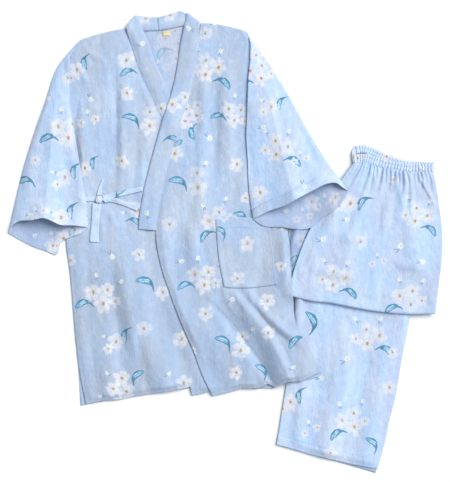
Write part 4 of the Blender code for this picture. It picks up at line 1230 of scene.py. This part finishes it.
frontLeft = {
    "sections": (((-49, 448), (-2, 443), (46, 430)), ((-53, 418), (-2, 410), (55, 404)),
                 ((-61, 361), (-6, 357), (56, 357)), ((-74, 297), (-14, 295), (52, 291)),
                 ((-94, 236), (-26, 230), (49, 219)), ((-111, 176), (-34, 172), (50, 168)),
                 ((-127, 113), (-34, 107), (83, 102)), ((-141, 18), (-10, 18), (128, 19)),
                 ((-131, -47), (-2, -49), (134, -41)),
                 ((-112, -105), (11, -102), (139, -115)), ((-88, -168), (27, -164), (148, -176)),
                 ((-64, -223), (52, -217), (171, -213)), ((-43, -279), (64, -262), (187, -244))),
    "hem": ((-25, -315), (5, -308), (34, -299), (68, -299), (88, -290), (104, -297),
            (117, -291), (131, -285), (157, -284), (181, -272), (197, -266)),
    "creases": (
        crease((-118, -80), (-44, -200), (26, -306), 38, 50, 5, hem=True),
        crease((-66, -112), (24, -216), (84, -300), 70, 22, 10, blunt=0.9, hem=True),
        crease((-26, -68), (82, -184), (132, -292), 44, 15, 12, blunt=0.75, lean=-0.1, hem=True),
        crease((-10, -56), (92, -172), (136, -282), 46, 60, 10, hem=True),
        crease((34, -74), (94, -154), (190, -226), 17, 12, 10, lean=-0.1),
        crease((-60, -60), (-24, -130), (10, -200), 20, 16, 2.0),
        crease((-46, 412), (-44, 240), (-54, 60), 20, 15, 5.5),
        crease((8, 400), (9, 260), (4, 90), 34, 18, 6.5),
        crease((-74, 60), (-62, -20), (-40, -90), 28, 22, 6),
        crease((-60, -98), (18, -178), (98, -292), 9, 8, -2.4, hem=True),
        crease((-22, 420), (-16, 260), (-26, 90), 14, 14, -1.8),
        crease((-106, -60), (-84, -150), (-42, -280), 14, 24, 1.2),
        crease((110, 20), (122, -40), (120, -110), 10, 12, 1.6),
        crease((20, -95), (30, -120), (52, -150), 7, 9, 2),
        crease((-5, -75), (5, -120), (30, -160), 8, 8, 1.8),
        crease((70, -95), (86, -125), (118, -160), 7, 7, 2.2),
        crease((52, 300), (30, 292), (10, 280), 9, 9, 1.0),
        crease((50, 230), (28, 225), (8, 205), 9, 9, 1.0),
    ),
    "sprigs": (
        sprig("trio", -30, 355, -20, -1), sprig("trio", -73, 258, 75, 0.85),
        sprig("underLeaf", -102, 180, 170, 0.9), sprig("leafTwo", -94, 121, 0, 1.05),
        sprig("trio", 19, 264, -15, 0.85), sprig("bud", -34, 215, -50, 1.1),
        sprig("single", 25, 160, 0, 0.95), sprig("single", -114, 37, 30), sprig("trio", -18, 45, 30, 0.95),
        sprig("trio", -47, -72, 0, 0.95), sprig("single", 87, -119, 0),
        sprig("single", -40, -146, 20, 0.95), sprig("leafTwo", -2, -205, -12), sprig("leaf", 146, -203, 60),
        sprig("single", 89, -184, 0, 0.9), sprig("bud", 115, 29, 0), sprig("single", 115, -49, 0, 0.7),
        sprig("leaf", 33, 53, 0, 0.8), sprig("bud", -24, 447, 0, 0.8), sprig("single", -40, 428, 0, 0.9),
        sprig("single", 23, -266, 20, 0.9), sprig("leaf", 76, -264, -30, 0.9), sprig("bud", -92, -41, 0),
        sprig("single", 42, 90, 60, 0.7), sprig("bud", 13, -119, 20), sprig("twig", -77, -230, 20, 0.9),
        sprig("bud", 138, -258, 20, 0.9),
    ),
    "turned": {"bottom": 17.0, "left": (20.0, 18.0)},
    "passes": 160,
    "seed": 53,
}

pocket = {
    "sections": (((-18, 45), (44, 50), (91, 41)), ((-12, -33), (46, -31), (100, -31)),
                 ((-1, -92), (52, -93), (107, -86))),
    "creases": (
        crease((0, 30), (6, -20), (14, -80), 8, 10, 0.8),
        crease((60, 40), (66, -10), (60, -70), 10, 10, 0.7),
    ),
    "sprigs": (
        sprig("single", 46, -2, 0), sprig("single", 25, -74, 30, 0.9), sprig("leaf", -8, 20, -25, 0.8),
        sprig("twig", -14, 41, 20, 0.9),
    ),
    "turned": {"top": 22.0, "left": 7.0, "right": 7.0, "bottom": 7.0},
    "passes": 2,
    "loft": 0.5,
    "crinkle": 0.3,
    "seed": 61,
    "spacing": 2.4,
}


# Strips: the collar band and the ties

band = {
    "width": 36.0,
    "overlap": 1.6,       # over the front's edge
    "thickness": 2.0,
    "across": 15,
    "spacing": 3.2,
    "knots": 24.0,        # between the places that give a band's run along its front
    "nearCrease": 100.0,  # how far from the shoulder's fold it rises over its other half
    "backPasses": 40,
    "frontPasses": 60,
    "edgeRound": 2.2,
    "seamLine": 3.0,      # in from its inner edge
    "loft": 1.1,
    "ripples": ((30, 7, 1.0, 0.9), (11, 9, 1.4, 0.45)),  # size, seed, stretch and height
    "backRight": (((-202, 437), (-180, 463)), ((-166, 432), (-149, 461)), ((-136, 433), (-138, 460))),
    "backLeft": (((-51, 447), (-78, 467)), ((-81, 443), (-90, 473)), ((-110, 437), (-110, 468)),
                 ((-135, 433), (-137, 460))),
    "lowestRight": 10.0,
    "lowestLeft": 22.0,
    "sprigs": (sprig("bud", 20, 30, 60), sprig("leaf", 6, 192, 20, 0.8), sprig("single", 26, 262, 0),
               sprig("single", 8, 284, 0, 0.8), sprig("single", 30, 500, 0, 0.9), sprig("bud", 20, 420, 0)),
}


def stripChart(across, long):
    # each point's place on the flat strip
    return np.dstack(np.broadcast_arrays(across[None], long[:, None]))


def stripShell(name, middle, thickness, sprigs, material, edgeRound, puff=0.0):
    # a strip of doubled cloth about its middle surface, thinner towards its long edges
    normals = gridNormals(middle)
    if normals[0, :, 2].mean() < 0:
        normals = -normals
    across = runLength(middle.mean(axis=0))
    inward = np.minimum(across, across[-1] - across)
    half = thickness / 2 * np.sqrt(1 - (1 - np.clip(inward / edgeRound, 0, 1)) ** 2) + 0.12
    half = np.broadcast_to(half + puff, middle.shape[:2])[..., None]
    flat = stripChart(across, runLength(middle).mean(axis=1))
    outer = middle + normals * half
    return shell(name, outer, middle - normals * half, flat, [material], sprigs), outer


def makeBand(name, node, edge, toward, lowest, back):
    # up the front's edge, over at the shoulder, and on to the centre back; the front's edge ends inside it
    seam = edge[edge[:, 1] > lowest][::-1]
    seam = alongLine(seam, np.linspace(0, 1, int(runLength(seam)[-1] / band["knots"]) + 1))
    away = asideOf(seam[:, :2]) * toward
    shares = np.linspace(0, 1, band["across"])
    reach = (band["width"] + band["overlap"]) * shares - band["overlap"]
    front = seam[:, None, :2] + away[:, None] * reach[None, :, None]
    rear = np.array([[np.array(s) * (1 - u) + np.array(f) * u for u in shares] for s, f in back], float)
    front[-1] = rear[0]
    front[-2] = (front[-3] + rear[0]) / 2
    steps = rowSteps(front, band["spacing"])
    front = smoothRows(front, steps)
    edgeHeight = smoothRows(seam, steps)[:, 2] - cloth["thickness"] / 2
    rear = smoothRows(rear, rowSteps(rear, band["spacing"]))
    thick = band["thickness"]
    low = restOn(rear, band["backPasses"]) + thick / 2
    fromCrease = np.linalg.norm(front - rear[0][None], axis=2)
    high = restOn(front, band["frontPasses"]) + thick / 2 + cloth["gap"]
    high += (thick + 2 * cloth["gap"]) * (1 - np.clip(fromCrease / band["nearCrease"], 0, 1) ** 2) ** 2
    tied = step(16, 0, reach)[None] * step(0, 40, fromCrease)
    high = high * (1 - tied) + edgeHeight[:, None] * tied
    out = unit(front[-1] - front[-6])
    rise = (high[-1] - low[0]) / 2
    turned = []
    for turn in np.radians(np.arange(20, 180, 20)):
        place = rear[0] + out * (rise * math.sin(turn))[:, None]
        turned.append(np.dstack([place[None], (low[0] + rise * (1 + math.cos(turn)))[None]]))
    middle = np.concatenate([np.dstack([front, high]), *turned, np.dstack([rear, low])])
    long = runLength(middle).mean(axis=1)
    runs = stripChart(reach, long)
    crinkle = sum(softNoise(runs, *ripple) * height for *ripple, height in band["ripples"])
    middle[..., 2] += (crinkle + band["loft"]) * np.sin(shares * math.pi)[None] ** 0.6
    stitched = np.exp(-((reach - band["seamLine"]) / 1.2) ** 2)
    puff = (0.3 * np.sin(shares * math.pi) - 0.25 * stitched)[None] + 0.1 * crinkle
    piece, outer = stripShell(name, middle, thick, band["sprigs"], printedGauze, band["edgeRound"], puff)
    finishPiece(piece, node)
    addToPile(outer)
    return {"piece": piece, "length": float(long[-1])}


ties = {
    "rightStrap": {"path": ((-265.5, 88), (-279, 88), (-293, 86)), "width": 10.0, "seed": 3},
    "leftStrap": {"path": ((-168, 109), (-212, 99), (-248.5, 90)), "width": 10.0, "seed": 5,
                  "sprigs": (sprig("leaf", 5, 48, 80, 0.7),)},
    "rightTail": {"path": ((-261.5, 78.3), (-265, 39), (-267, 0)), "width": 17.0, "seed": 8},
    "leftTail": {"path": ((-247.0, 84), (-225, 85), (-178, 68)), "width": 10.0, "seed": 13},
    "leftLoop": {"path": ((-256.5, 95.7), (-254, 112), (-248, 129)), "width": 10.0, "seed": 17, "tip": 0.35},
    "thickness": 1.5,
    "edgeRound": 1.4,
    "pointSpacing": 1.8,
    "passes": 12,
}


def makeTie(name, node):
    # a ribbon of doubled cloth, a little rumpled
    s = ties[name]
    length = sum(math.dist(a, b) for a, b in zip(s["path"], s["path"][1:]))
    line = arcAcross(s["path"], np.linspace(0, 1, max(12, int(length / ties["pointSpacing"]))))
    run = np.linspace(0, 1, len(line))
    half = np.interp(run, [0, 1], [1, s.get("tip", 1.0)]) * s["width"] / 2
    half = half * (1 + 0.06 * np.sin(run * 7 + s["seed"]))
    across = np.linspace(-1, 1, 11)
    aside = asideOf(line)
    xy = line[:, None] - aside[:, None] * (half[:, None] * across[None])[..., None]
    z = restOn(xy, ties["passes"]) + ties["thickness"] / 2 + 0.3
    runs = stripChart(across * s["width"] / 2, run * length)
    z += 0.5 * softNoise(runs, 9, s["seed"]) + 0.35 * softNoise(runs, 4, s["seed"] + 1, 3.0) + 0.4
    piece, outer = stripShell(name, np.dstack([xy, z]), ties["thickness"], s.get("sprigs", ()), paleGauze,
                              ties["edgeRound"])
    finishPiece(piece, node)
    addToPile(outer)


knot = {"at": (-257.0, 87.0), "size": (15.0, 16.0, 8.0), "rings": 22, "sides": 44}


def makeKnot():
    # the strap wraps once round the crossing: a pillow with two sunken lines
    wide, long, high = knot["size"]
    polar = np.linspace(0, 1, knot["rings"])[1:-1] * math.pi
    around = np.linspace(0, 2 * math.pi, knot["sides"], endpoint=False)
    p, a = np.meshgrid(polar, around, indexing="ij")

    def power(value, exponent):
        return np.sign(value) * np.abs(value) ** exponent

    x = power(np.sin(p), 0.8) * power(np.cos(a), 0.75) * wide / 2
    y = power(np.sin(p), 0.8) * power(np.sin(a), 0.85) * long / 2
    z = power(np.cos(p), 0.8) * high / 2
    groove = np.exp(-((x * 0.8 + y * 0.45 - 3.2) / 0.9) ** 2)
    groove += np.exp(-((x * 0.8 + y * 0.3 + 3.6) / 0.8) ** 2)
    shrink = 1 - 0.13 * groove * (np.cos(p) > -0.5)
    xy = np.dstack([x, y]) + np.array(knot["at"])
    base = float(pileUnder(np.array([[knot["at"]]], float), 2)[0, 0]) + 0.2
    centre = base + high / 2
    ring = np.dstack([xy[..., 0], xy[..., 1], centre + z * shrink + 0.3 * np.sin(x * 1.3 + y * 0.8)])
    ring[..., :2] = (ring[..., :2] - knot["at"]) * shrink[..., None] + knot["at"]
    piece = tubePiece("knot", ring, [paleGauze])
    finishPiece(piece, "tie_knot")


label = {"at": (-119.0, 427.0), "size": (15.0, 9.0), "thickness": 0.6, "edgeRound": 0.6}


def makeLabel():
    wide, long = label["size"]
    x = label["at"][0] + np.linspace(-wide / 2, wide / 2, 13)
    y = label["at"][1] + np.linspace(long / 2, -long / 2, 9)
    xy = np.dstack(np.meshgrid(x, y))
    bowed = 0.25 * np.sin(np.linspace(0, math.pi, len(x)))
    z = restOn(xy, 30) + label["thickness"] / 2 + 0.15 + bowed[None]
    piece = stripShell("label", np.dstack([xy, z]), label["thickness"], (), labelSatin, label["edgeRound"])[0]
    finishPiece(piece, "neck_label")


# The sleeves

sleeveRight = {
    "armhole": ((-297, 412), (-317, 377), (-319, 342), (-317, 281), (-307, 219), (-297, 162)),
    "sections": (((-342, 359), (-336, 246), (-293, 139)), ((-368, 287), (-352, 193), (-289, 115)),
                 ((-397, 203), (-366, 131), (-283, 84)), ((-423, 111), (-373, 78), (-280, 53))),
    "cuffTop": ((-444, 18), (-436, 33), (-422, 42), (-391, 45), (-368, 49), (-352, 43), (-338, 36),
                (-307, 34), (-279, 30)),
    "cuffUnder": ((-444, 18), (-420, 4), (-389, -11), (-362, -20), (-346, -26), (-334, 0), (-293, 19),
                  (-279, 30)),
    "rise": 19.0,
    # left of this the under layer's turned hem keeps the darker inside tone as painted shade
    "strip": -362.0,
    "inner": (sprig("pairLeaf", -330, 8, 0), sprig("single", -352, -6, 0), sprig("bud", -392, 12, 0),
              sprig("single", -306, 25, 0, 0.8), sprig("trio", -350, 150, 0)),
    "creases": (
        crease((-340, 360), (-355, 190), (-367, 48), 58, 40, 14, tent=0.8, hem=True),
        crease((-318, 350), (-322, 240), (-298, 90), 20, 14, 4),
        crease((-334, 388), (-322, 372), (-316, 350), 5, 5, 1.6),
        crease((-330, 370), (-322, 356), (-318, 338), 5, 5, 1.4),
        crease((-385, 230), (-398, 150), (-418, 60), 18, 20, 1.8, hem=True),
        crease((-335, 200), (-332, 130), (-320, 60), 12, 14, 1.4),
    ),
    "sprigs": (
        sprig("bud", -364, 293, 10, 0.9), sprig("trio", -325, 230, 0, 1.02), sprig("leaf", -407, 123, 20),
        sprig("pairLeaf", -327, 133, 0), sprig("pairLeaf", -334, 51, 0, 1.05),
        sprig("single", -387, 168, 0, 0.7), sprig("bud", -307, 275, 0, 0.9),
        sprig("twig", -379, 55, 30, 0.8), sprig("single", -321, 336, 0, 0.8),
        sprig("bud", -399, 55, 0, 0.9),
    ),
    "seed": 71,
}

sleeveLeft = {
    "armhole": ((50, 420), (53, 403), (52, 373), (48, 332), (46, 281), (44, 213), (47, 168)),
    "sections": (((89, 368), (76, 260), (47, 141)), ((134, 295), (107, 199), (49, 113)),
                 ((177, 217), (130, 144), (52, 84)), ((216, 154), (146, 107), (56, 61))),
    "cuffTop": ((253, 105), (241, 112), (228, 121), (208, 119), (183, 107), (143, 86), (126, 76),
                (91, 64), (58, 47)),
    "cuffUnder": ((253, 105), (245, 90), (232, 72), (197, 47), (176, 30), (109, 31), (78, 33), (58, 47)),
    "rise": 16.5,
    # past the cuff's end, so the whole turned hem keeps the darker inside tone as painted shade
    "strip": 900.0,
    "inner": (sprig("single", 178, 84, 0), sprig("twig", 205, 76, 0), sprig("bud", 122, 62, 0),
              sprig("single", 226, 92, 0, 0.8), sprig("twig", 160, 50, 0, 0.9), sprig("trio", 100, 180, 0)),
    "creases": (
        crease((72, 380), (104, 238), (143, 86), 52, 40, 10, tent=0.8, hem=True),
        crease((58, 350), (62, 220), (74, 90), 16, 30, 3),
        crease((120, 290), (150, 200), (190, 130), 16, 18, 2),
        crease((52, 350), (70, 330), (84, 300), 6, 6, 1.2),
    ),
    "sprigs": (
        sprig("trio", 66, 348, 15, 0.9), sprig("pairLeaf", 95, 277, -10, 0.9),
        sprig("trio", 113, 191, -15, -0.95), sprig("single", 72, 102, 0), sprig("bud", 160, 117, -70, 1.1),
        sprig("single", 64, 383, 0, 0.8), sprig("bud", 76, 234, 0, 0.9), sprig("leaf", 76, 414, -50, 0.7),
        sprig("twig", 154, 168, 0, 0.8),
    ),
    "seed": 83,
}

sleeveCut = {
    "gap": 1.2,           # between its layers
    "crown": 2.5,         # how much more they part in the middle
    "edge": 7.5,          # how far in from its folds the layers curve together
    "hem": 20.0,
    "turnedHem": 0.35,    # how much thicker the wall is there
    "columns": 50,
    "passes": 120,
    "nearFolds": (0, 0.3, 1.0, 2.1, 3.6, 5.6),  # columns beside a fold, in 130ths of the width
    "underFlat": 2000.0,  # sets the print's chart of the lower layer apart from the upper one's
}


def aroundTube(upper, under):
    # a tube's columns all round: over its upper layer, then back under its lower one
    return np.concatenate([upper, under[:, ::-1]], axis=1)


def makeSleeve(name, node, s):
    # a flattened tube: an under layer, and an upper one that rises towards the open cuff
    thick, cut = cloth["thickness"], sleeveCut
    near = np.array(cut["nearFolds"]) / 130
    shares = np.concatenate([near, np.linspace(0.065, 0.935, cut["columns"]), 1 - near[::-1]])
    rows = [alongLine(s["armhole"], shares)] + [arcAcross(section, shares) for section in s["sections"]]
    upperRows = withHem(rows, alongLine(curveThrough(s["cuffTop"]), shares), cut["hem"])
    underRows = withHem(rows, alongLine(curveThrough(s["cuffUnder"]), shares), cut["hem"])
    steps = rowSteps(upperRows, cloth["spacing"], 2.0)
    upper, under = smoothRows(upperRows, steps), smoothRows(underRows, steps)
    count, across = upper.shape[:2]
    down = np.linspace(0, 1, count)[:, None]
    bulge = np.sin(np.pi * shares)[None, :] ** 0.8
    floor = restOn(under, cut["passes"])
    above = restOn(upper, cut["passes"])
    height, shift = creaseRelief(upper, s["creases"])
    calm = np.clip(np.sin(np.pi * shares) * 3, 0, 1)[None] ** 0.7
    crinkle = gauzeRelief(upper, s["seed"]) * calm
    hollow = cut["gap"] + (cut["crown"] + s["rise"] * down ** 2.2) * bulge
    lift = (height + crinkle) * calm + 0.4 * turnedEdges(upper, {"bottom": cut["hem"]}) * calm
    hollow = np.maximum(hollow + lift, 0.7)
    top = np.maximum(above, floor) + thick + hollow + thick
    wrinkle = (0.5 + gauzeRelief(under, s["seed"] + 5)) * 0.3 * calm * step(0, 1, down)
    low = floor + np.maximum(wrinkle, 0)
    sideways = shift * calm[..., None]

    ends = (0, -1)
    middle = low[:, ends] + thick + cut["gap"] / 2
    wide = np.linalg.norm(upper[:, -1] - upper[:, 0], axis=1)[:, None]
    inset = np.minimum(shares, 1 - shares)[None] * wide
    ease = (1 - (1 - np.clip(inset / cut["edge"], 0, 1)) ** 2) ** 0.75
    mid = middle[:, :1] * (1 - shares) + middle[:, 1:] * shares
    top = np.where(inset < cut["edge"], mid + (top - mid) * ease, top)
    low = np.where(inset < cut["edge"], mid + (low - mid) * ease, low)

    kept = np.r_[0:across, across + 1:2 * across - 1]  # the layers share their points at both folds
    outer = aroundTube(np.dstack([upper + sideways, top]), np.dstack([under, low]))[:, kept]
    normals = gridNormals(outer, wrap=True)
    if normals[:, 1:across - 1, 2].mean() < 0:
        normals = -normals
    hemmed = aroundTube(inFrom(upper, "bottom"), inFrom(under, "bottom")) < cut["hem"] + 0.3
    wall = thick + cut["turnedHem"] * hemmed[:, kept]
    inner = outer - normals * wall[..., None]
    flat = aroundTube(upper, under + np.array([cut["underFlat"], 0]))
    order = np.r_[0:across, across - 1:2 * across - 2, 0]
    # the turned hem shows its printed side only right of `strip`; left of it the darker inside tone is
    # painted shade
    shown = hemmed & (flat[..., 0] > s["strip"] + cut["underFlat"])
    sprigs = s["sprigs"] + tuple(moved(s["inner"], cut["underFlat"]))
    piece = shell(name, outer, inner, flat, bothSides, sprigs, order, across - 1, shown.astype(float))
    finishPiece(piece, node)
    addToPile(outer[:, :across])
    return {"piece": piece}


# Stitches

stitch = {
    "length": 2.7,
    "width": 0.8,
    "pitch": 3.8,
    "sides": 5,
    "flattened": 0.8,
    "lift": 0.05,
    # share of the length and of the width at each ring of a thread
    "profile": ((-0.5, 0.15), (-0.32, 1.0), (0.32, 1.0), (0.5, 0.15)),
}


def stitchPiece(name, lines):
    # a row of short rounded threads along each line of (place, normal) points
    s, n = stitch, stitch["sides"]
    around = np.linspace(0, 2 * math.pi, n, endpoint=False)
    points, quads, caps = [], [], []
    for line, up in lines:
        length = runLength(line)
        total = length[-1]
        for at in np.arange(s["pitch"], total - s["pitch"] / 2, s["pitch"]):
            centre = between(line, length, at)
            way = unit(between(line, length, min(at + 1, total)) - centre)
            over = unit(between(up, length, at))
            beside = np.cross(way, over)
            for share, size in s["profile"]:
                first = len(points)
                radius = s["width"] / 2 * size
                for angle in around:
                    points.append(centre + way * share * s["length"] + beside * radius * math.cos(angle)
                                  + over * radius * s["flattened"] * math.sin(angle))
                ring = np.arange(first, first + n)
                if share == s["profile"][0][0]:
                    caps.append((ring[::-1], None))
                else:
                    quads += [(a - n, b - n, b, a) for a, b in zip(ring, np.roll(ring, -1))]
            caps.append((ring, None))
    piece = makePiece(name, np.array(points), np.array(quads), [stitchThreadAndShade], caps=caps)
    finishPiece(piece, None)


def insetLine(made, side, distance, shares=(0, 1)):
    # a line on a panel's upper face at a distance in from one edge
    top = fromEdge(made["top"], side)
    inward = fromEdge(inFrom(made["xy"], side), side)
    normals = fromEdge(gridNormals(made["top"]), side)
    line, ups = [], []
    first, last = (int(share * (top.shape[1] - 1)) for share in shares)
    for k in range(first, last + 1):
        line.append(between(top[:, k], inward[:, k], distance))
        ups.append(between(normals[:, k], inward[:, k], distance))
    line, ups = np.array(line), np.array(ups)
    return line + ups * stitch["lift"], ups


def plainMaterial(name, colour, roughness, sheen=0.0):
    material = bpy.data.materials.new(name)
    material.use_nodes = True
    shader = material.node_tree.nodes["Principled BSDF"]
    shader.inputs["Base Color"].default_value = (*colour, 1)
    shader.inputs["Roughness"].default_value = roughness
    shader.inputs["Sheen Weight"].default_value = sheen
    return material


labelSatin = plainMaterial("labelSatin", (0.80, 0.66, 0.38), 0.45, 0.2)
# the thread is darker than the cloth: partly its own colour, partly painted shade along the stitched lines
stitchThreadAndShade = plainMaterial("stitchThreadAndShade", (0.36, 0.47, 0.68), 0.8, 0.2)


# Building the set, from the floor up

makeHiddenLayers()
leg = layPanel("lowerLeg", lowerLeg, bothSides)
finishPiece(leg["piece"], "trousers_leg")
rise = layPanel("riseStrip", riseStrip, bothSides, flipped=True)
finishPiece(rise["piece"], "trousers_rise")
makeHip()
makeWaistband()
print("trousers done")

backMade = layPanel("back", back, bodySides, flipped=True)
finishPiece(backMade["piece"], "jacket_back")
rightMade = layPanel("frontRight", frontRight, bodySides)
finishPiece(rightMade["piece"], "jacket_front_right")
bandRight = makeBand("bandRight", "collar_band_right", rightMade["top"][:, -1], 1, band["lowestRight"],
                     band["backRight"])
leftMade = layPanel("frontLeft", frontLeft, bodySides)
finishPiece(leftMade["piece"], "jacket_front_left")
bandLeft = makeBand("bandLeft", "collar_band_left", leftMade["top"][:, 0], -1, band["lowestLeft"],
                    band["backLeft"])
pocketMade = layPanel("pocketPatch", pocket, bodySides)
finishPiece(pocketMade["piece"], "pocket")
makeLabel()
print("body of the jacket done")

makeTie("rightStrap", "tie_right_strap")
sleeveRightMade = makeSleeve("rightSleeve", "sleeve_right", sleeveRight)
sleeveLeftMade = makeSleeve("leftSleeve", "sleeve_left", sleeveLeft)
makeTie("leftStrap", "tie_left_strap")
makeTie("rightTail", "tie_right_tail")
makeTie("leftTail", "tie_left_tail")
makeTie("leftLoop", "tie_left_loop")
makeKnot()
print("sleeves and ties done")

stitchPiece("hemStitches", [
    insetLine(leftMade, "bottom", 17.0), insetLine(rightMade, "bottom", 17.0),
    insetLine(leg, "bottom", 20.0),
])
stitchPiece("facingStitches", [
    insetLine(leftMade, "left", 20.0, (0.52, 0.985)),
])
stitchPiece("pocketStitches", [
    insetLine(pocketMade, "left", 2.0), insetLine(pocketMade, "bottom", 2.0),
    insetLine(pocketMade, "right", 2.0), insetLine(pocketMade, "top", 20.0),
])
print("stitches done")


# The floor, the light and the camera

studio = {
    "floor": (0.90, 0.90, 0.90),
    "world": (0.80, 0.89, 1.0),
    "worldStrength": 0.42,
    "keyPower": 3.3,
    "keyAngle": 0.7,
    "keyColour": (0.98, 0.99, 1.0),
    "keyAt": (2.7, 2.1, 4.6),
    "cameraAt": (0.0005, 0.002, 5.0),
    "cameraLens": 121.5,
    "cameraFrame": 24,
}


def aim(thing, target):
    way = Vector(target) - thing.location
    thing.rotation_euler = way.to_track_quat("-Z", "Y").to_euler()


def makeStudio():
    bpy.ops.mesh.primitive_plane_add(size=4.0, location=(0, 0, 0))
    floor = bpy.context.active_object
    floor.name = "floor"
    floor.data.materials.append(plainMaterial("paper", studio["floor"], 0.9))
    floor.select_set(False)
    lamp = bpy.data.lights.new("key", "SUN")
    lamp.energy = studio["keyPower"]
    lamp.angle = studio["keyAngle"]
    lamp.color = studio["keyColour"]
    key = bpy.data.objects.new("key", lamp)
    key.location = studio["keyAt"]
    aim(key, (0, 0, 0))
    bpy.context.scene.collection.objects.link(key)
    world = bpy.data.worlds.new("studio")
    world.use_nodes = True
    sky = world.node_tree.nodes["Background"]
    sky.inputs[0].default_value = (*studio["world"], 1)
    sky.inputs[1].default_value = studio["worldStrength"]
    bpy.context.scene.world = world
    bpy.context.scene.view_settings.view_transform = "Standard"

    lens = bpy.data.cameras.new("camera")
    lens.sensor_fit = "VERTICAL"
    lens.sensor_height = studio["cameraFrame"]
    lens.lens = studio["cameraLens"]
    camera = bpy.data.objects.new("camera", lens)
    camera.location = studio["cameraAt"]
    bpy.context.scene.collection.objects.link(camera)
    bpy.context.scene.camera = camera


makeStudio()
